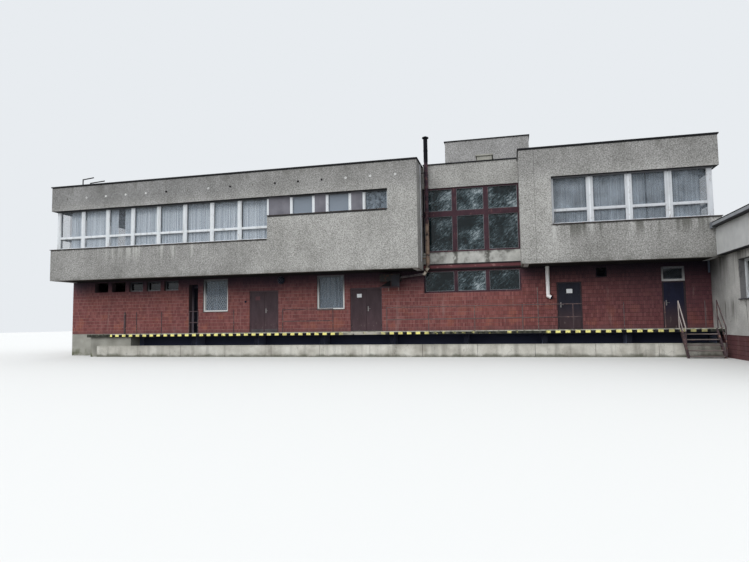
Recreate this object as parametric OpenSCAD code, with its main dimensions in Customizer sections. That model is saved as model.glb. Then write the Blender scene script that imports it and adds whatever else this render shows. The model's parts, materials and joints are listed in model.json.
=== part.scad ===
// Two-storey factory building with a cantilevered upper floor, a loading dock and a one-storey side wing.
// The origin is on the ground under the middle of the main block. +X runs to the right along the dock,
// +Y runs from the dock front to the back, and +Z is up.

/* [Plan] */
// Length of the main block along X
main_length = 30800; // [30600:100:32000]
// Depth of the upper floor along Y
main_depth = 12000; // [11000:100:14000]
// How far the upper floor stands out over the ground-floor wall
overhang = 1620; // [1500:10:1800]
// Length of the left upper wing
left_wing_length = 18970; // [18900:10:19300]
// Width of the recessed stair bay between the two wings
stair_bay_width = 4320; // [4200:10:4500]
// Thickness of every outer wall
wall = 300; // [260:10:340]

/* [Levels] */
// Height of the ground floor and of the dock above the ground
dock_height = 1120; // [1000:10:1300]
// Clear height of the ground floor
ground_clear = 2740; // [2740:10:3000]
// Thickness of the upper floor slab
floor_thickness = 300; // [250:10:350]
// Height of the upper window sills above the upper floor
sill_height = 1270; // [1200:10:1400]
// Height of the upper windows
window_height = 2005; // [1900:5:2200]
// Height of the low ribbon windows
ribbon_height = 915; // [800:5:1000]
// Height of the wall band above the upper windows
parapet_height = 1225; // [1100:5:1400]
// Height by which the parapet over the stair bay stands above the others
bay_rise = 90; // [60:5:120]
// Distance from the window heads up to the underside of the roof slab
head_to_ceiling = 165; // [150:5:220]
// Thickness of the roof slab
roof_thickness = 250; // [200:10:300]

/* [Upper windows] */
// Width of one bay of the left windows
left_pitch = 1450; // [1440:1:1455]
// Number of bays of the left windows
left_bays = 8; // [7:1:8]
// Width of one bay of the right windows
right_pitch = 1475; // [1430:1:1480]
// Number of bays of the right windows
right_bays = 4; // [3:1:4]
// Number of window bays that run back along each end wall
end_bays = 4; // [2:1:6]
// Distance from the outer wall face back to the window frames
window_inset = 200; // [120:10:210]
// Thickness of the window frames, front to back
frame_depth = 80; // [60:5:90]
// Width of the posts of the left windows
left_post = 190; // [150:5:220]
// Width of the posts between the right windows
right_post = 240; // [180:5:280]
// Height of the transom bars of the upper windows
transom_bar = 90; // [70:5:120]
// Height of the bottom bars of the upper windows
edge_bar = 75; // [60:5:100]
// Height of the top bars of the upper windows
top_bar = 45; // [30:5:60]
// Width of the narrow posts where a row of upper windows ends at a wall
end_post = 80; // [60:5:120]
// Drop from the window heads to the middle of the transom bars
transom_drop = 1390; // [1300:5:1450]
// Width of one ribbon window, post middle to post middle
ribbon_window = 1090; // [1000:5:1100]
// Width of one panel between ribbon windows, post middle to post middle
ribbon_panel = 650; // [600:5:680]
// Width of the first ribbon panel beside the tall windows
first_panel = 1160; // [1100:5:1200]
// Number of ribbon windows
ribbon_count = 3; // [2:1:3]
// Width of the ribbon posts
ribbon_post = 115; // [90:5:130]
// Thickness of every sheet of glass
glass_t = 12; // [8:1:16]

/* [Stair bay window] */
// Height of the concrete panel under the tall window
bay_panel_height = 520; // [480:10:560]
// Height of the tall window
bay_window_height = 2980; // [2900:10:3050]
// Height of the wide rail across the tall window
bay_rail = 255; // [200:5:280]
// Drop from the window head to the middle of the wide rail
bay_rail_drop = 1200; // [1100:10:1300]
// Width of the mullions of the tall window
bay_post = 220; // [180:5:260]
// Width of the mullions of the low window
bay_low_post = 170; // [140:5:200]
// Height of the low window
bay_low_height = 1030; // [950:10:1100]
// Width of the outer bars of both windows
bay_edge = 75; // [60:5:100]

/* [Ground floor openings] */
// Distance from the left end to the first small window
small_x = 1350; // [1200:10:1400]
// Width of a small window
small_width = 820; // [760:10:860]
// Height of a small window
small_height = 510; // [450:10:560]
// Spacing of the small windows
small_pitch = 1041; // [1000:1:1060]
// Number of small windows
small_count = 5; // [4:1:5]
// Number of small windows that are empty holes, counted from the left
small_open = 2; // [1:1:3]
// Distance from the left end to the narrow service recess
recess_x = 6930; // [6800:10:6980]
// Width of the service recess
recess_width = 520; // [450:10:560]
// Height of the service recess
recess_height = 2450; // [2300:10:2500]
// Depth of the service recess
recess_depth = 490; // [400:10:600]
// Distances from the left end to the two big windows
big_x = [7730, 13785];
// Width of a big window
big_width = 1375; // [1300:5:1400]
// Height of a big window
big_height = 1655; // [1600:5:1700]
// Height of the wall left over the ground-floor windows
head_strip = 50; // [40:5:60]
// Place of the vent in the free wall between the last two doorways, as a share of what it can move
vent_share = 0.222; // [0.15:0.002:0.3]
// Width of the vent
vent_width = 430; // [380:10:460]
// Height of the vent
vent_height = 410; // [380:10:440]
// Distance from the ceiling down to the top of the vent
vent_drop = 120; // [100:10:160]

/* [Doors] */
// Distances from the left end to the two doorways of the left wing
door_x = [10280, 15450];
// Distance from the right edge of the stair bay to the third doorway, as a share of the right wing's length
third_door_share = 0.195; // [0.18:0.005:0.21]
// Distance from the right end of the building to the last doorway
last_door_x = 1860; // [1820:10:1900]
// Width of a doorway with two leaves
double_width = 1525; // [1480:5:1560]
// Width of the doorway with one leaf in the right wing
single_width = 1025; // [980:5:1060]
// Width of the last doorway, beside the outside stair
last_width = 890; // [860:5:920]
// Height of the doorways
door_height = 2040; // [2000:10:2100]
// Height of the last doorway below its transom window
last_height = 1955; // [1900:5:2000]
// Height of the transom window over the last door
transom_height = 605; // [560:5:620]
// Width of the door frames
door_frame = 55; // [45:5:70]
// Thickness of the door frames, front to back
door_frame_depth = 100; // [80:5:130]
// Distance from the wall face back to the doors
door_recess = 40; // [30:5:60]
// Thickness of a door leaf
leaf_t = 45; // [38:1:55]
// Running gap around a door leaf on its hinge side and over its top
leaf_gap = 6; // [5:0.5:8]
// Running gap on the side where a leaf shuts, against the frame or the other leaf
shut_gap = 9; // [8:0.5:12]
// Radius of a door hinge
hinge_r = 9; // [7:0.5:11]
// Height of one half of a door hinge
hinge_h = 60; // [45:5:80]
// Height of the door handles above the floor
handle_z = 1050; // [950:10:1100]

/* [Roof] */
// Thickness of the metal copings
coping_t = 50; // [40:5:70]
// Overhang of the metal copings
coping_out = 45; // [30:5:60]
// Radius of the small round vents in the left parapet
hole_r = 50; // [40:5:60]
// Number of the small round vents
hole_count = 16; // [12:1:16]
// Distance from each end of the left wing to the nearest round vent
hole_x = 940; // [900:10:1000]
// Height of the round vents above the window heads
hole_rise = 600; // [560:10:640]
// Distance from the right edge of the stair bay to the right side of the roof house
house_out = 660; // [600:10:700]
// Width of the roof house
house_width = 4300; // [4100:10:4400]
// Depth of the roof house
house_depth = 4000; // [3500:10:4500]
// Distance from the front of the upper floor back to the roof house
house_back = 5500; // [5200:10:5700]
// Height of the roof house above the roof slab
house_height = 3170; // [3000:10:3400]
// Thickness of the roof house walls
house_wall = 200; // [160:10:240]
// Width of the flat-capped vent box on the roof
vent_box = 700; // [600:10:800]
// Height of the flat-capped vent box above the roof slab
vent_box_height = 1560; // [1450:10:1650]
// Radius of the bent pipes on the roof
gooseneck_r = 28; // [20:1:35]

/* [Dock] */
// Depth of the dock in front of the ground-floor wall
dock_depth = 1220; // [1150:10:1300]
// Thickness of the dock slab
dock_slab_t = 150; // [120:5:180]
// Distance from the left end of the building to the dock
dock_x = 1960; // [1800:10:2100]
// Distance from the left end of the building to the first kerb panel
kerb_x = 2560; // [2500:10:2700]
// Height of the kerb panels
kerb_height = 545; // [500:5:580]
// Thickness of the kerb panels
kerb_t = 120; // [100:5:140]
// Number of kerb panels
kerb_count = 12; // [10:1:14]
// Joint between kerb panels
kerb_joint = 15; // [8:1:20]
// Width of the solid end wall under the dock
dock_end_width = 2320; // [2200:10:2400]
// Thickness of the cross walls under the dock
pier_t = 200; // [160:10:240]
// Number of cross walls under the dock
pier_count = 8; // [6:1:9]

/* [Railing] */
// Height of the railing above the dock
rail_height = 1075; // [1000:5:1150]
// Height of the lower rail above the dock
low_rail_height = 520; // [450:5:560]
// Radius of the railing tubes
rail_r = 21; // [16:1:26]
// Distance from the dock edge to the railing
rail_edge = 60; // [50:5:90]
// Radius of the thick post nearest the left end
thick_post_r = 50; // [40:1:60]
// Distance from the left end to the thick post
thick_post_x = 4100; // [3900:10:4300]
// Distances from the left end to the thin posts that stand alone
lone_posts = [4760, 6165, 10030];
// Distances from the left end to the pairs of posts with two short rails between them
railed_posts = [[7670, 8150], [12510, 14950]];
// Distances from the left edge of the stair bay to the posts of the long railing
row_posts = [-1520, 340, 2320, 4300, 6310];
// Distance from the left edge of the stair bay to the tall post
tall_post_x = 4930; // [4800:10:5200]
// How far the long railing runs on past its last post
row_tail = 350; // [200:10:400]
// Height of the tall post
tall_post_height = 1780; // [1600:10:1900]
// Distances from the right end to the posts of the railing beside the outside stair
stair_posts = [3580, 2070];
// Distance from the right side of the stair to the post of the short rail across its top
return_post = 390; // [300:10:450]

/* [Outside stair] */
// Distance from the right end to the left side of the stair
stair_x = 1560; // [1500:10:1600]
// Width of the stair over its stringers
stair_width = 1320; // [1200:10:1360]
// Thickness of a stringer
stringer_t = 60; // [40:5:80]
// Depth of a stringer, measured upright
stringer_h = 260; // [220:5:300]
// Number of treads
tread_count = 5; // [4:1:6]
// Horizontal distance from tread to tread
tread_going = 165; // [150:5:200]
// Depth of a tread
tread_depth = 200; // [160:5:240]
// Thickness of a tread
tread_t = 40; // [30:5:50]
// Ground left under the lowest tread
tread_foot = 95; // [60:5:120]

/* [Flue and wall fittings] */
// Distance from the left side wall of the stair bay to the middle of the flue
flue_side = 225; // [180:5:260]
// Distance from the stair bay wall to the middle of the flue
flue_front = 240; // [200:5:280]
// Radius of the flue
flue_r = 88; // [75:1:95]
// Height of the flue above the parapet coping
flue_above = 1260; // [1100:10:1400]
// Radius of the flue cap
flue_cap_r = 150; // [125:1:170]
// Radius of the pipe from the flue to the heater
duct_r = 60; // [45:1:70]
// Width of the wall heater
heater_width = 960; // [850:10:1050]
// Height of the wall heater
heater_height = 340; // [300:10:380]
// Depth of the wall heater
heater_depth = 420; // [350:10:480]
// Distance from the right edge of the left wing to the right side of the heater
heater_x = 1040; // [1000:10:1100]
// Distance from the ceiling down to the top of the heater
heater_drop = 130; // [110:10:160]
// Radius of the downpipe
downpipe_r = 80; // [60:1:90]
// Distance from the right edge of the stair bay to the downpipe, as a share of that to the third doorway
downpipe_share = 0.7515; // [0.7:0.0005:0.78]
// Length of the downpipe below the soffit
downpipe_length = 1290; // [1100:10:1400]
// Radius of the round wall lamp
lamp_r = 180; // [140:5:200]
// Distance from the left end to the wall lamp
lamp_x = 11990; // [11950:10:12100]

/* [Side wing] */
// Width of the side wing along X
annex_width = 6000; // [5400:100:7000]
// How far the side wing comes forward of the upper floor
annex_forward = 9800; // [6600:100:10000]
// How far the side wing runs back beside the main block
annex_back = 6000; // [5000:100:7000]
// Height of its tiled plinth
annex_plinth = 870; // [800:10:950]
// Height of its walls above the ground
annex_wall_top = 3900; // [3800:10:4000]
// Height of its deep fascia
fascia_height = 1310; // [1150:10:1350]
// How far the fascia stands out
fascia_out = 250; // [200:10:300]
// Thickness of the fascia
fascia_t = 120; // [80:10:160]
// Thickness of its roof slab
annex_roof_t = 220; // [180:10:260]
// Sill height of its windows above the ground
annex_sill = 2180; // [2100:10:2250]
// Height of its windows
annex_window_height = 1430; // [1350:10:1500]
// Width of its windows
annex_window_width = 2000; // [1800:10:2100]
// Spacing of its windows
annex_pitch = 3000; // [2900:10:3100]
// Size of the box gutter along its fascia
gutter = 190; // [150:5:220]

/* [Hidden] */
$fn = 48;

// Places along X
x_left = -main_length / 2;
x_right = main_length / 2;
x_bay_l = x_left + left_wing_length;
x_bay_r = x_bay_l + stair_bay_width;
x_annex = x_right + annex_width;

// Places along Y
y_front = -main_depth / 2;
y_ground = y_front + overhang;
y_back = main_depth / 2;
y_dock = y_ground - dock_depth;
y_annex_front = y_front - annex_forward;
y_annex_back = y_front + annex_back;

// Places along Z
z_soffit = dock_height + ground_clear;
z_upper = z_soffit + floor_thickness;
z_sill = z_upper + sill_height;
z_head = z_sill + window_height;
z_ribbon = z_head - ribbon_height;
z_top = z_head + parapet_height;
z_bay_top = z_top + bay_rise;
z_ceiling = z_head + head_to_ceiling;
z_roof = z_ceiling + roof_thickness;
z_ground_head = z_soffit - head_strip;
z_bay_sill = z_upper + bay_panel_height;
z_bay_head = z_bay_sill + bay_window_height;

// Upper windows: the frames stand window_inset behind the wall faces
y_frame = y_front + window_inset;
x_left_post = x_left + window_inset + left_post / 2;
x_left_end = x_left_post + left_bays * left_pitch;
x_right_post = x_right - window_inset - left_post / 2;
x_right_start = x_right_post - right_bays * right_pitch;
ribbon_posts = [x_left_end, for (i = [0 : 2 * ribbon_count - 1])
    x_left_end + first_panel + floor(i / 2) * (ribbon_window + ribbon_panel) + (i % 2) * ribbon_window];
x_ribbon_end = ribbon_posts[2 * ribbon_count];
y_end_start = y_frame + frame_depth;
y_end_stop = y_end_start + end_bays * left_pitch;

// Ground-floor places in the right wing, which follow its length
third_door_x = round(third_door_share * (main_length - left_wing_length - stair_bay_width));
free_wall = x_right - last_door_x - (x_bay_r + third_door_x + single_width) - vent_width;
vent_x = third_door_x + single_width + round(vent_share * free_wall);
downpipe_x = round(downpipe_share * third_door_x);

// Doors: left edge, width, height and number of leaves
doors = [
    [x_left + door_x[0], double_width, door_height, 2],
    [x_left + door_x[1], double_width, door_height, 2],
    [x_bay_r + third_door_x, single_width, door_height, 1],
    [x_right - last_door_x, last_width, last_height, 1]
];
z_door_top = [for (d = doors) dock_height + d[2]];
z_transom_top = z_door_top[3] + transom_height;
y_leaf = y_ground + door_recess;
leaf_lift = 10;
hinge_out = 12;
hinge_levels = [250, 1650];

// Colours
render_grey = "#9d9c96";
tile_red = "#7a3f3a";
concrete = "#b0aea6";
black_metal = "#1d1e20";
white_paint = "#d9dcdc";
brown_paint = "#5a3033";
door_brown = "#3d3030";
glass_blue = "#5f6f78";
rail_brown = "#5b4c4b";

// A box from its low corner to its high corner
module block(lo, hi) {
    translate(lo) cube(hi - lo);
}

// A flat lattice in the XZ plane, from posts and rails given by their middles, with a width for each of them.
// Its front face is at y.
module lattice(posts, rails, post_w, rail_w, y, depth) {
    last_post = len(posts) - 1;
    last_rail = len(rails) - 1;
    difference() {
        block([posts[0] - post_w[0] / 2, y, rails[0] - rail_w[0] / 2],
              [posts[last_post] + post_w[last_post] / 2, y + depth, rails[last_rail] + rail_w[last_rail] / 2]);
        for (i = [0 : last_post - 1], j = [0 : last_rail - 1])
            block([posts[i] + post_w[i] / 2, y - 1, rails[j] + rail_w[j] / 2],
                  [posts[i + 1] - post_w[i + 1] / 2, y + depth + 1, rails[j + 1] - rail_w[j + 1] / 2]);
    }
}

// A straight tube between two points
module tube_between(a, b, r) {
    d = b - a;
    l = norm(d);
    translate(a)
        rotate([0, acos(d[2] / l), atan2(d[1], d[0])])
            cylinder(r = r, h = l);
}

// The middles of a row of evenly spaced posts, and one width for each of them
function row(start, pitch, count) = [for (i = [0 : count]) start + i * pitch];
function widths(inner, count, first, last) = [for (i = [0 : count]) i == 0 ? first : i == count ? last : inner];

// The base block fills the height from the ground to the ground floor
module foundation() {
    color(concrete)
        block([x_left, y_ground, 0], [x_right, y_back, dock_height]);
}

// Ground floor walls. The front wall is a row of plates that stop beside the doors and the recess.
gaps = [[x_left + recess_x, recess_width, dock_height + recess_height],
    for (i = [0 : len(doors) - 1]) [doors[i][0], doors[i][1], i == 3 ? z_transom_top : z_door_top[i]]];
module ground_front_wall() {
    starts = [x_left, for (g = gaps) g[0] + g[1]];
    stops = [for (g = gaps) g[0], x_right];
    color(tile_red)
        difference() {
            for (i = [0 : len(starts) - 1])
                block([starts[i], y_ground, dock_height], [stops[i], y_ground + wall, z_soffit]);
            for (i = [0 : small_count - 1])
                front_hole(small_x + i * small_pitch, small_width, z_ground_head - small_height, z_ground_head);
            for (x = big_x)
                front_hole(x, big_width, z_ground_head - big_height, z_ground_head);
            front_hole(x_bay_l - x_left, stair_bay_width, z_soffit - bay_low_height, z_soffit + 1);
            front_hole(x_bay_r - x_left + vent_x, vent_width, z_soffit - vent_drop - vent_height, z_soffit - vent_drop);
        }
}

// A hole through the ground-floor front wall, x measured from the left end
module front_hole(x, w, z0, z1) {
    block([x_left + x, y_ground - 1, z0], [x_left + x + w, y_ground + wall + 1, z1]);
}

// The wall over each doorway and over the recess
module door_lintels() {
    color(tile_red)
        for (g = gaps)
            block([g[0], y_ground, g[2]], [g[0] + g[1], y_ground + wall, z_soffit]);
}

module ground_end_walls() {
    color(tile_red)
        for (x = [x_left, x_right - wall])
            block([x, y_ground + wall, dock_height], [x + wall, y_back - wall, z_soffit]);
}

// The back wall repeats the big windows in an even row
back_count = 8;
back_pitch = (main_length - 2 * wall) / back_count;
function back_x(i) = x_left + wall + (i + 0.5) * back_pitch - big_width / 2;

module ground_back_wall() {
    color(tile_red)
        difference() {
            block([x_left, y_back - wall, dock_height], [x_right, y_back, z_soffit]);
            for (i = [0 : back_count - 1])
                block([back_x(i), y_back - wall - 1, z_ground_head - big_height],
                      [back_x(i) + big_width, y_back + 1, z_ground_head]);
        }
}

// A floor or roof: one plate behind the stair bay wall and one strip in each wing in front of it
joint = 4;
module storey_plates(z0, z1) {
    y_in = y_ground + wall;
    block([x_left + wall, y_in, z0], [x_right - wall, y_back - wall, z1]);
    block([x_left + wall, y_front + wall, z0], [x_bay_l - wall, y_in - joint, z1]);
    block([x_bay_r + wall, y_front + wall, z0], [x_right - wall, y_in - joint, z1]);
}

module upper_floor_slab() {
    color(concrete)
        storey_plates(z_soffit, z_upper);
}

// Upper front walls: the band under the windows and the wall around the ribbon windows
module upper_front_walls() {
    color(render_grey) {
        block([x_left, y_front, z_soffit], [x_bay_l, y_front + wall, z_sill]);
        block([x_left_end + end_post / 2, y_front, z_sill], [x_bay_l, y_front + wall, z_ribbon]);
        block([x_ribbon_end + top_bar / 2, y_front, z_ribbon], [x_bay_l, y_front + wall, z_head]);
        block([x_bay_r, y_front, z_soffit], [x_right, y_front + wall, z_sill]);
        block([x_bay_r, y_front, z_sill], [x_right_start - end_post / 2, y_front + wall, z_head]);
    }
}

module upper_parapets() {
    hole_pitch = (left_wing_length - 2 * hole_x) / (hole_count - 1);
    color(render_grey) {
        difference() {
            block([x_left, y_front, z_head], [x_bay_l, y_front + wall, z_top]);
            for (i = [0 : hole_count - 1])
                translate([x_left + hole_x + i * hole_pitch, y_front - 1, z_head + hole_rise])
                    rotate([-90, 0, 0])
                        cylinder(r = hole_r, h = wall + 2);
        }
        block([x_bay_r, y_front, z_head], [x_right, y_front + wall, z_top]);
    }
}

// The two end walls, each with its window band, and the two short walls beside the stair bay
module upper_side_walls() {
    color(render_grey) {
        for (x = [x_left, x_right - wall])
            difference() {
                block([x, y_front + wall, z_soffit], [x + wall, y_back - wall, z_top]);
                block([x - 1, y_front + wall - 1, z_sill], [x + wall + 1, y_end_stop, z_head]);
            }
        for (x = [x_bay_l - wall, x_bay_r])
            block([x, y_front + wall, z_soffit], [x + wall, y_ground, z_top]);
    }
}

// The stair bay wall: the concrete panel under the tall window and the wall over it, raised between the wings
module stair_bay_walls() {
    x0 = x_bay_l - wall;
    x1 = x_bay_r + wall;
    color(concrete) {
        block([x0, y_ground, z_soffit], [x1, y_ground + wall, z_bay_sill]);
        block([x0, y_ground, z_bay_head], [x1, y_ground + wall, z_top]);
        block([x_bay_l + coping_out + joint / 2, y_ground, z_top - 1],
              [x_bay_r - coping_out - joint / 2, y_ground + wall, z_bay_top]);
    }
}

// The painted strip over the edge of the floor slab
band_t = 30;
band_margin = 25;
module stair_bay_band() {
    color(brown_paint)
        block([x_bay_l, y_ground - band_t, z_soffit + band_margin], [x_bay_r, y_ground, z_upper - band_margin]);
}

module upper_back_wall() {
    color(render_grey)
        difference() {
            block([x_left, y_back - wall, z_soffit], [x_right, y_back, z_top]);
            for (x = [x_left_post, -x_left_post - left_bays * left_pitch])
                block([x, y_back - wall - 1, z_sill], [x + left_bays * left_pitch, y_back + 1, z_head]);
        }
}

// Roof
module roof_slab() {
    color(concrete)
        storey_plates(z_ceiling, z_roof);
}

// One straight length of coping on a wall, with a small joint at each end
module coping_x(x0, x1, y0, z = z_top) {
    block([x0 + joint / 2, y0 - coping_out, z], [x1 - joint / 2, y0 + wall + coping_out, z + coping_t]);
}
module coping_y(x0, y0, y1) {
    block([x0 - coping_out, y0 + joint / 2, z_top], [x0 + wall + coping_out, y1 - joint / 2, z_top + coping_t]);
}

module coping() {
    y_side = y_front + wall + coping_out;
    y_rear = y_back - wall - coping_out;
    color(black_metal) {
        coping_x(x_left - coping_out, x_bay_l + coping_out, y_front);
        coping_x(x_bay_r - coping_out, x_right + coping_out, y_front);
        coping_x(x_left - coping_out, x_right + coping_out, y_back - wall);
        coping_x(x_bay_l + coping_out, x_bay_r - coping_out, y_ground, z_bay_top);
        coping_y(x_left, y_side, y_rear);
        coping_y(x_right - wall, y_side, y_rear);
        coping_y(x_bay_l - wall, y_side, y_ground + wall + coping_out);
        coping_y(x_bay_r, y_side, y_ground + wall + coping_out);
    }
}

// The roof house over the stair, four walls with a lid
x_house = x_bay_r + house_out - house_width;
y_house = y_front + house_back;
z_house = z_roof + house_height;
module roof_house_walls() {
    x1 = x_house + house_width;
    y1 = y_house + house_depth;
    color(render_grey) {
        for (y = [y_house, y1 - house_wall])
            block([x_house, y, z_roof], [x1, y + house_wall, z_house]);
        for (x = [x_house, x1 - house_wall])
            block([x, y_house + house_wall + joint, z_roof], [x + house_wall, y1 - house_wall - joint, z_house]);
    }
}

module roof_house_top() {
    color(black_metal)
        block([x_house - coping_out, y_house - coping_out, z_house],
              [x_house + house_width + coping_out, y_house + house_depth + coping_out, z_house + coping_t]);
}

vent_box_cap = 60;
vent_box_front = 2500;
module roof_vent_box() {
    x = x_bay_l + 0.57 * stair_bay_width;
    y = y_house - vent_box_front;
    color(concrete) {
        block([x, y, z_roof], [x + vent_box, y + vent_box, z_roof + vent_box_height]);
        block([x - vent_box_cap, y - vent_box_cap, z_roof + vent_box_height],
              [x + vent_box + vent_box_cap, y + vent_box + vent_box_cap, z_roof + vent_box_height + vent_box_cap]);
    }
}

// Two bent pipes behind the left parapet: distance from the left end, height over the roof, length of the arm
gooseneck_y = 180;
goosenecks = [[1430, 1330, 640], [1890, 1110, 840]];
module roof_goosenecks() {
    color(black_metal)
        for (g = goosenecks) {
            foot = [x_left + g[0], y_front + wall + gooseneck_y, z_roof];
            bend = foot + [0, 0, g[1] - 60];
            tip = foot + [g[2], 0, g[1]];
            tube_between(foot, bend, gooseneck_r);
            translate(bend) sphere(r = gooseneck_r + 2);
            tube_between(bend, tip, gooseneck_r);
        }
}

// Window frames of the upper floor
upper_rails = [z_sill + edge_bar / 2, z_head - transom_drop, z_head - top_bar / 2];
upper_rail_w = [edge_bar, transom_bar, top_bar];

module front_window_frames() {
    color(white_paint) {
        lattice(row(x_left_post, left_pitch, left_bays), upper_rails,
                widths(left_post, left_bays, left_post, end_post), upper_rail_w, y_frame, frame_depth);
        lattice(row(x_right_start, right_pitch, right_bays), upper_rails,
                widths(right_post, right_bays, end_post, left_post), upper_rail_w, y_frame, frame_depth);
        for (i = [0 : ribbon_count - 1])
            lattice([ribbon_posts[2 * i + 1], ribbon_posts[2 * i + 2]],
                    [z_ribbon + top_bar / 2, z_head - top_bar / 2],
                    [ribbon_post, i == ribbon_count - 1 ? top_bar : ribbon_post], [top_bar, top_bar],
                    y_frame, frame_depth);
    }
}

module ribbon_panels() {
    color("#6d625c")
        for (i = [0 : ribbon_count - 1])
            block([ribbon_posts[2 * i] + (i == 0 ? end_post : ribbon_post) / 2, y_frame, z_ribbon],
                  [ribbon_posts[2 * i + 1] - ribbon_post / 2, y_frame + frame_depth, z_head]);
}

// The window band carries on round both corners along the end walls
module end_frame() {
    first = y_end_start + left_post / 2;
    last = y_end_stop - left_post / 2;
    lattice(row(first, (last - first) / end_bays, end_bays), upper_rails,
            widths(left_post, end_bays, left_post, left_post), upper_rail_w, 0, frame_depth);
}

module end_window_frames() {
    color(white_paint) {
        translate([x_left + window_inset + frame_depth, 0, 0]) rotate([0, 0, 90]) end_frame();
        translate([x_right - window_inset, 0, 0]) rotate([0, 0, 90]) end_frame();
    }
}

// The stair bay windows stand a little behind the face of the bay wall
bay_frame_y = y_ground + 60;
module stair_window_frames() {
    third = (stair_bay_width - bay_edge) / 3;
    posts = row(x_bay_l + bay_edge / 2, third, 3);
    color(brown_paint) {
        lattice(posts, [z_bay_sill + bay_edge / 2, z_bay_head - bay_rail_drop, z_bay_head - bay_edge / 2],
                widths(bay_post, 3, bay_edge, bay_edge), [bay_edge, bay_rail, bay_edge], bay_frame_y, frame_depth);
        lattice(posts, [z_soffit - bay_low_height + bay_edge / 2, z_soffit - bay_edge / 2],
                widths(bay_low_post, 3, bay_edge, bay_edge), [bay_edge, bay_edge], bay_frame_y, frame_depth);
    }
}

// Ground-floor windows: frames with one pane, and a frame over the last door
ground_bar = 70;
small_bar = 50;
ground_frame_in = 60;
small_frame_in = 110;
ground_frame_y = y_ground + ground_frame_in;
small_frame_y = y_ground + small_frame_in;
module pane_frame(x0, x1, z0, z1, bar, y) {
    lattice([x0 + bar / 2, x1 - bar / 2], [z0 + bar / 2, z1 - bar / 2], [bar, bar], [bar, bar], y, frame_depth);
}

module ground_window_frames() {
    color(white_paint) {
        for (i = [small_open : small_count - 1])
            pane_frame(x_left + small_x + i * small_pitch, x_left + small_x + i * small_pitch + small_width,
                       z_ground_head - small_height, z_ground_head, small_bar, small_frame_y);
        for (x = big_x)
            pane_frame(x_left + x, x_left + x + big_width, z_ground_head - big_height, z_ground_head,
                       ground_bar, ground_frame_y);
        pane_frame(doors[3][0], doors[3][0] + last_width, z_door_top[3], z_transom_top, ground_bar, y_leaf);
    }
}

back_frame_y = y_back - window_inset;
module back_window_frames() {
    color(white_paint) {
        for (x = [x_left_post, -x_left_post - left_bays * left_pitch])
            lattice(row(x + end_post / 2, (left_bays * left_pitch - end_post) / left_bays, left_bays),
                    upper_rails, widths(left_post, left_bays, end_post, end_post), upper_rail_w,
                    back_frame_y, frame_depth);
        for (i = [0 : back_count - 1])
            pane_frame(back_x(i), back_x(i) + big_width, z_ground_head - big_height, z_ground_head,
                       ground_bar, back_frame_y);
    }
}

// Glass: a sheet against the back of the frames of each wall
module sheet_x(x0, x1, y, z0, z1) {
    block([x0, y, z0], [x1, y + glass_t, z1]);
}

module upper_glass() {
    y_glass = y_frame + frame_depth;
    inset = window_inset + frame_depth;
    y_stop = y_end_stop - 1;
    color(glass_blue, 0.6) {
        sheet_x(x_left_post, x_left_end, y_glass, z_sill, z_head);
        for (i = [0 : ribbon_count - 1])
            sheet_x(ribbon_posts[2 * i + 1], ribbon_posts[2 * i + 2], y_glass, z_ribbon, z_head);
        sheet_x(x_right_start, x_right_post, y_glass, z_sill, z_head);
        for (x = [x_left + inset, x_right - inset - glass_t])
            block([x, y_glass + 2 * glass_t, z_sill], [x + glass_t, y_stop, z_head]);
        sheet_x(x_bay_l + 1, x_bay_r - 1, bay_frame_y + frame_depth, z_bay_sill, z_bay_head);
        for (x = [x_left_post, -x_left_post - left_bays * left_pitch])
            sheet_x(x + 1, x + left_bays * left_pitch - 1, back_frame_y - glass_t, z_sill, z_head);
    }
}

module ground_glass() {
    y_glass = ground_frame_y + frame_depth;
    color(glass_blue, 0.6) {
        for (i = [small_open : small_count - 1])
            sheet_x(x_left + small_x + i * small_pitch + 1, x_left + small_x + i * small_pitch + small_width - 1,
                    small_frame_y + frame_depth, z_ground_head - small_height, z_ground_head);
        for (x = big_x)
            sheet_x(x_left + x + 1, x_left + x + big_width - 1, y_glass, z_ground_head - big_height, z_ground_head);
        sheet_x(doors[3][0] + 1, doors[3][0] + last_width - 1, y_leaf + frame_depth, z_door_top[3], z_transom_top);
        sheet_x(x_bay_l + 1, x_bay_r - 1, bay_frame_y + frame_depth, z_soffit - bay_low_height, z_soffit);
        for (i = [0 : back_count - 1])
            sheet_x(back_x(i) + 1, back_x(i) + big_width - 1, back_frame_y - glass_t,
                    z_ground_head - big_height, z_ground_head);
    }
}

// Metal sills in front of the upper windows, and under the two big ground-floor windows
sill_t = 25;
sill_out = 40;
module window_sills() {
    color(black_metal) {
        block([x_left - sill_out, y_front - sill_out, z_sill], [x_left_end + end_post / 2, y_frame, z_sill + sill_t]);
        block([x_right_start - end_post / 2, y_front - sill_out, z_sill],
              [x_right + sill_out, y_frame, z_sill + sill_t]);
        block([x_left_end + end_post / 2 + 1, y_front - sill_out, z_ribbon],
              [x_ribbon_end + top_bar / 2, y_frame, z_ribbon + sill_t]);
        for (x = big_x)
            block([x_left + x, y_ground - sill_out, z_ground_head - big_height],
                  [x_left + x + big_width, ground_frame_y, z_ground_head - big_height + sill_t]);
    }
}

// The narrow recess: four plates line a pocket behind its hole in the wall
lining = 20;
module service_recess() {
    x0 = x_left + recess_x;
    x1 = x0 + recess_width;
    y0 = y_ground + wall;
    y1 = y_ground + recess_depth;
    z1 = dock_height + recess_height;
    color("#4d4d50") {
        block([x0 - lining, y0, dock_height], [x0, y1 - joint, z1 - joint]);
        block([x1, y0, dock_height], [x1 + lining, y1 - joint, z1 - joint]);
        block([x0 - lining, y1, dock_height], [x1 + lining, y1 + lining, z1 - joint]);
        block([x0 - lining, y0, z1], [x1 + lining, y1 + lining, z1 + lining]);
    }
}

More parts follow.
